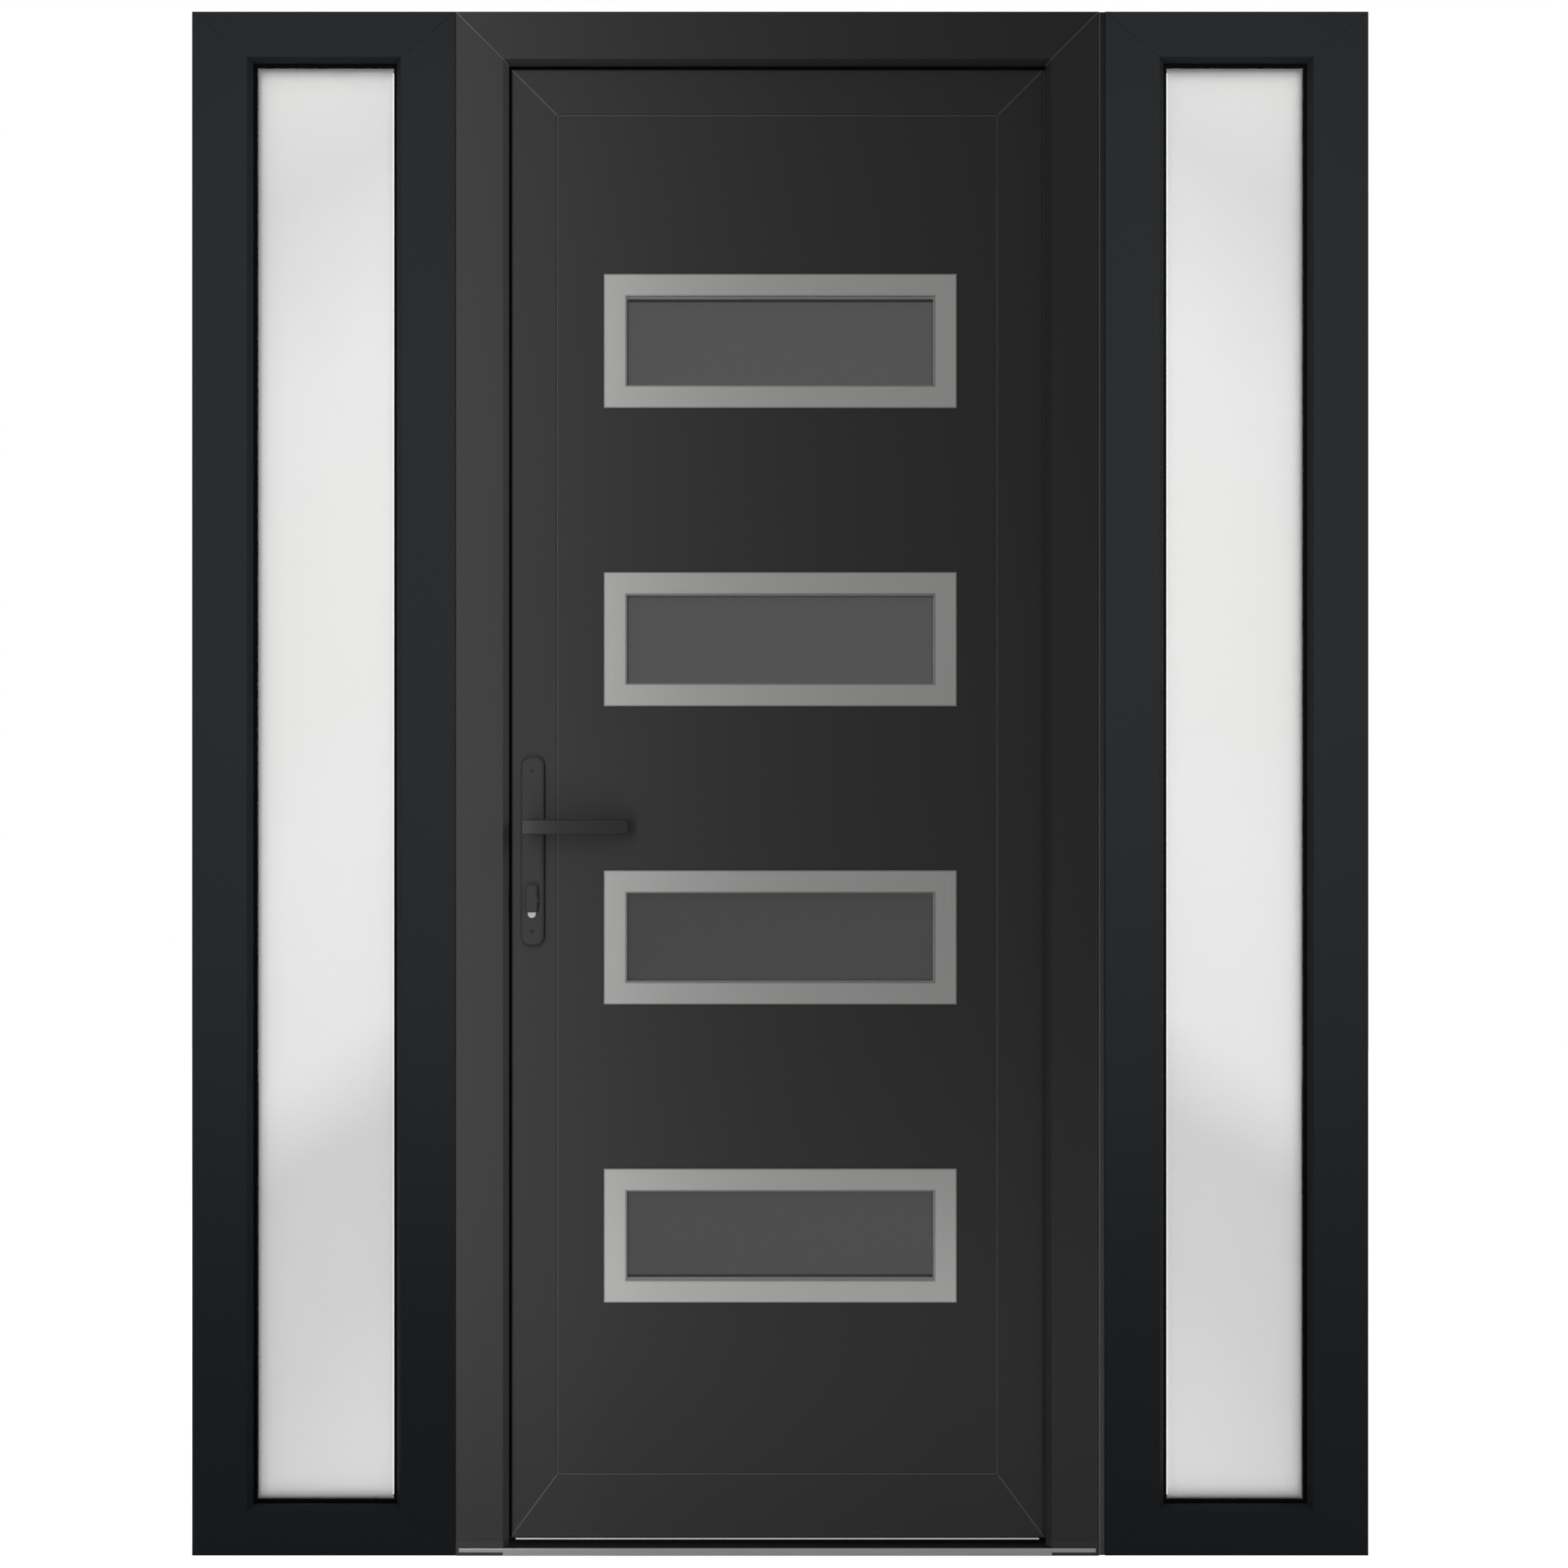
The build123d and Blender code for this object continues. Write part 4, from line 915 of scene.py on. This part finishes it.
leaf_screws = []
lock_edge_middle = (faceplate_low.y + faceplate_high.y) / 2
for n in range(FACEPLATE_SCREWS):
    share = (n + FACEPLATE_MARGIN) / (FACEPLATE_SCREWS - 1 + 2 * FACEPLATE_MARGIN)
    height = faceplate_low.z + share * (faceplate_high.z - faceplate_low.z)
    leaf_screws.append(((faceplate_low.x, lock_edge_middle, height), (-1, 0, 0)))
hinge_pitch = (hinge_high.z - hinge_low.z - KNUCKLE_HEIGHT) / (HINGES - 1)
frame_screws = []
for n in range(HINGES):
    upper = hinge_low.z + n * hinge_pitch
    lower = frame_hinge_low.z + n * hinge_pitch
    for share in SCREW_HEIGHTS:
        along = share * KNUCKLE_HEIGHT
        leaf_screws.append(((hinge_low.x + LEAF_HINGE_INSET, leaf_back + HINGE_PLATE, upper + along),
                            (0, 1, 0)))
        frame_screws.append(((frame_hinge_high.x - FRAME_HINGE_INSET, back + HINGE_PLATE, lower + along),
                             (0, 1, 0)))
for height in (strike_low.z + STRIKE_INSET, strike_high.z - STRIKE_INSET):
    frame_screws.append(((strike_high.x, (strike_low.y + strike_high.y) / 2, height), (1, 0, 0)))
leaf_fixing_screws = grow(
    "leaf_fixing_screws", screw_tree, points_mesh("leaf_screw_points", leaf_screws),
    {"Head Radius": HEAD_RADIUS, "Head Height": HEAD_HEIGHT, "Finish": lock_metal}, "leaf")
frame_fixing_screws = grow(
    "frame_fixing_screws", screw_tree, points_mesh("frame_screw_points", frame_screws),
    {"Head Radius": HEAD_RADIUS, "Head Height": HEAD_HEIGHT, "Finish": lock_metal}, "frame")

PLATE_SCREW_INSET = 20.5 * MM
RECESS_DEPTH = 1.5 * MM
HANDLE_HEAD_RADIUS = 2.4 * MM
inner_plate_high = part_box("handle_plate_inner")[1]
handle_screws = []
plate_middle = (plate_low.x + plate_high.x) / 2
for height in (plate_low.z + PLATE_SCREW_INSET, plate_high.z - PLATE_SCREW_INSET):
    outdoor_y = plate_low.y + RECESS_DEPTH - HEAD_HEIGHT / 2
    indoor_y = inner_plate_high.y - RECESS_DEPTH + HEAD_HEIGHT / 2
    handle_screws.append(((plate_middle, outdoor_y, height), (0, -1, 0)))
    handle_screws.append(((plate_middle, indoor_y, height), (0, 1, 0)))
handle_plate_screws = grow(
    "handle_plate_screws", screw_tree, points_mesh("handle_screw_points", handle_screws),
    {"Head Radius": HANDLE_HEAD_RADIUS, "Head Height": 2 * HEAD_HEIGHT, "Finish": fitting_coat},
    "leaf")

# %% [markdown]
# ## Floor, background and light
# The photograph is a product picture on plain white. The floor and the world are white to the
# camera, in reflections and through glass, and much darker to everything else, so that the white
# adds no light to the door. The floor keeps the shadow. In the photograph the door's grey falls off
# from left to right and the sidelights' only towards the floor, as if each was lit by itself. Light
# linking does just that: a tall soft box beside the left jamb lights the door set alone, apart from
# its glass, its stop seal and its lock cylinder, and so does a low one that stands in for light from
# the ground. A large high one lights the sidelights. One on the right is kept to the left jamb, the
# handle plate and the keyhole cover, for the sides that no other lamp sees. A weak wide one in front
# and a stronger one behind light everything.

# %% Stage
def white_where_seen(tree, seen_shader, other_shader):
    """One shader to the camera, in reflections and through glass, and another to everything else."""
    path = add(tree, "ShaderNodeLightPath").outputs
    direct = add(tree, "ShaderNodeMath", {"operation": "MAXIMUM"},
                 {0: path["Is Camera Ray"], 1: path["Is Transmission Ray"]})
    seen = add(tree, "ShaderNodeMath", {"operation": "MAXIMUM"},
               {0: direct.outputs[0], 1: path["Is Glossy Ray"]})
    return add(tree, "ShaderNodeMixShader", sockets={0: seen.outputs[0], 1: other_shader, 2: seen_shader})


FLOOR_GLOW = 0.92
WHITE = (1.0, 1.0, 1.0, 1.0)
floor_material, floor_tree, floor_output = new_material("pale_studio_floor")
floor_paint = add(floor_tree, "ShaderNodeBsdfDiffuse", sockets={"Color": linear("#f2f2f2")})
floor_glow = add(floor_tree, "ShaderNodeEmission", sockets={"Color": WHITE, "Strength": FLOOR_GLOW})
floor_lit = add(floor_tree, "ShaderNodeAddShader",
                sockets={0: floor_paint.outputs[0], 1: floor_glow.outputs[0]})
floor_grey = add(floor_tree, "ShaderNodeBsdfDiffuse", sockets={"Color": linear("#8c8c8c")})
floor_mix = white_where_seen(floor_tree, floor_lit.outputs[0], floor_grey.outputs[0])
floor_tree.links.new(floor_mix.outputs[0], floor_output.inputs[0])

FLOOR_SIZE = 14.0
FLOOR_DROP = 0.5 * MM
floor_mesh = bpy.data.meshes.new("studio_floor")
half = FLOOR_SIZE / 2
floor_z = cad_low.z - FLOOR_DROP
floor_mesh.from_pydata([(-half, -half, floor_z), (half, -half, floor_z), (half, half, floor_z),
                        (-half, half, floor_z)], [], [(0, 1, 2, 3)])
floor_mesh.materials.append(floor_material)
floor = bpy.data.objects.new("studio_floor", floor_mesh)
bpy.context.scene.collection.objects.link(floor)

world = bpy.data.worlds.new("studio_world")
bpy.context.scene.world = world
world.use_nodes = True
world_tree = world.node_tree
world_tree.nodes.clear()
SKY_STRENGTH = 0.30
sky = add(world_tree, "ShaderNodeBackground", sockets={"Color": WHITE, "Strength": SKY_STRENGTH})
backdrop = add(world_tree, "ShaderNodeBackground", sockets={"Color": WHITE, "Strength": 1.0})
world_mix = white_where_seen(world_tree, backdrop.outputs[0], sky.outputs[0])
add(world_tree, "ShaderNodeOutputWorld", sockets={"Surface": world_mix.outputs[0]})
print("floor:", FLOOR_SIZE, "m, sky strength:", SKY_STRENGTH)

# %% Lamps
def soft_box(name, place, target, size, power, spread=180):
    """A rectangular lamp. The spread in degrees narrows its beam, as a grid on a soft box does."""
    lamp = bpy.data.lights.new(name, "AREA")
    lamp.shape = "RECTANGLE"
    lamp.size, lamp.size_y = size
    lamp.energy = power
    lamp.spread = math.radians(spread)
    box = bpy.data.objects.new(name, lamp)
    box.location = place
    box.rotation_euler = (Vector(target) - Vector(place)).to_track_quat("-Z", "Y").to_euler()
    box.visible_camera = False
    box.visible_transmission = False
    bpy.context.scene.collection.objects.link(box)
    return box


def light_only(box, name, pieces):
    """Keeps a lamp's light to some pieces."""
    group = bpy.data.collections.new(name)
    for piece in pieces:
        group.objects.link(piece)
    box.light_linking.receiver_collection = group


soft_box("front_soft_box", (0.0, -3.4, 2.2), (0.0, 0.0, 1.1), (4.0, 2.4), 15.0)
soft_box("rear_soft_box", (0.0, 2.8, 3.0), (0.0, 0.0, 1.1), (3.0, 2.4), 90.0)
left_box = soft_box("left_soft_box", (-0.75, -1.1, 1.2), (-0.75, 0.0, 1.2), (0.3, 3.0), 16.0, 120)
high_box = soft_box("high_soft_box", (0.0, -1.0, 1.525), (0.0, 0.0, 1.525), (2.8, 1.95), 11.0, 100)
low_box = soft_box("low_soft_box", (0.0, -0.93, 0.12), (0.0, 0.0, 0.12), (3.4, 0.2), 6.0)
right_box = soft_box("right_soft_box", (1.8, -0.65, 1.75), (-0.38, 0.0, 1.75), (0.4, 1.6), 34.0)

sidelight_pieces = [solid for name, solid in solids.items() if name.startswith("sidelight")]
sidelight_pieces.append(frame_seal_lips)
kept_dark = ("window_glass", "frame_gasket", "lock_cylinder")
door_pieces = [solid for name, solid in solids.items()
               if name not in kept_dark and not name.startswith("sidelight")]
door_pieces += [frame_weld_scars, leaf_weld_scars, frame_fixing_screws, leaf_fixing_screws,
                handle_plate_screws, leaf_panel_seal, frame_packer_lip]
light_only(left_box, "lit_from_the_left", door_pieces)
light_only(low_box, "lit_from_the_ground", door_pieces)
light_only(high_box, "lit_from_above", sidelight_pieces)
light_only(right_box, "lit_from_the_right",
           [solids[name] for name in ("frame_jamb_left", "handle_plate_outer", "keyhole_cover")])

shading_pieces = bpy.data.collections.new("casts_a_shadow_from_the_left")
for name in ("lever_outer", "handle_plate_outer", "keyhole_cover"):
    shading_pieces.objects.link(solids[name])
left_box.light_linking.blocker_collection = shading_pieces
print("door pieces:", len(door_pieces), "sidelight pieces:", len(sidelight_pieces))

# %% [markdown]
# ## Camera
# The picture was taken squarely, from half the door's height. Its scale is known from the door's
# height in it, and the bit of reveal that shows inside the top and bottom windows gives the
# distance. From these two come the lens and the place of the camera.

# %% Camera
PHOTO_SIZE = 1932
PHOTO_TOP, PHOTO_BOTTOM = 14, 1917
PHOTO_LEFT, PHOTO_RIGHT = 236.7, 1686.0
SENSOR = 36.0
CAMERA_DISTANCE = 3.7

metres_per_pixel = (unit_top - cad_low.z) / (PHOTO_BOTTOM - PHOTO_TOP)
half_photo = PHOTO_SIZE / 2
camera = bpy.data.objects.new("camera", bpy.data.cameras.new("camera"))
camera.data.sensor_width = SENSOR
camera.data.lens = SENSOR * CAMERA_DISTANCE / (PHOTO_SIZE * metres_per_pixel)
camera.location = (
    (cad_low.x + cad_high.x) / 2 + (half_photo - (PHOTO_LEFT + PHOTO_RIGHT) / 2) * metres_per_pixel,
    front - CAMERA_DISTANCE,
    cad_low.z + (PHOTO_BOTTOM - half_photo) * metres_per_pixel,
)
camera.rotation_euler = (math.radians(90), 0, 0)
bpy.context.scene.collection.objects.link(camera)
bpy.context.scene.camera = camera
bpy.context.scene.view_settings.view_transform = "Standard"
print("lens:", round(camera.data.lens, 2), "mm, at", [round(c, 4) for c in camera.location])
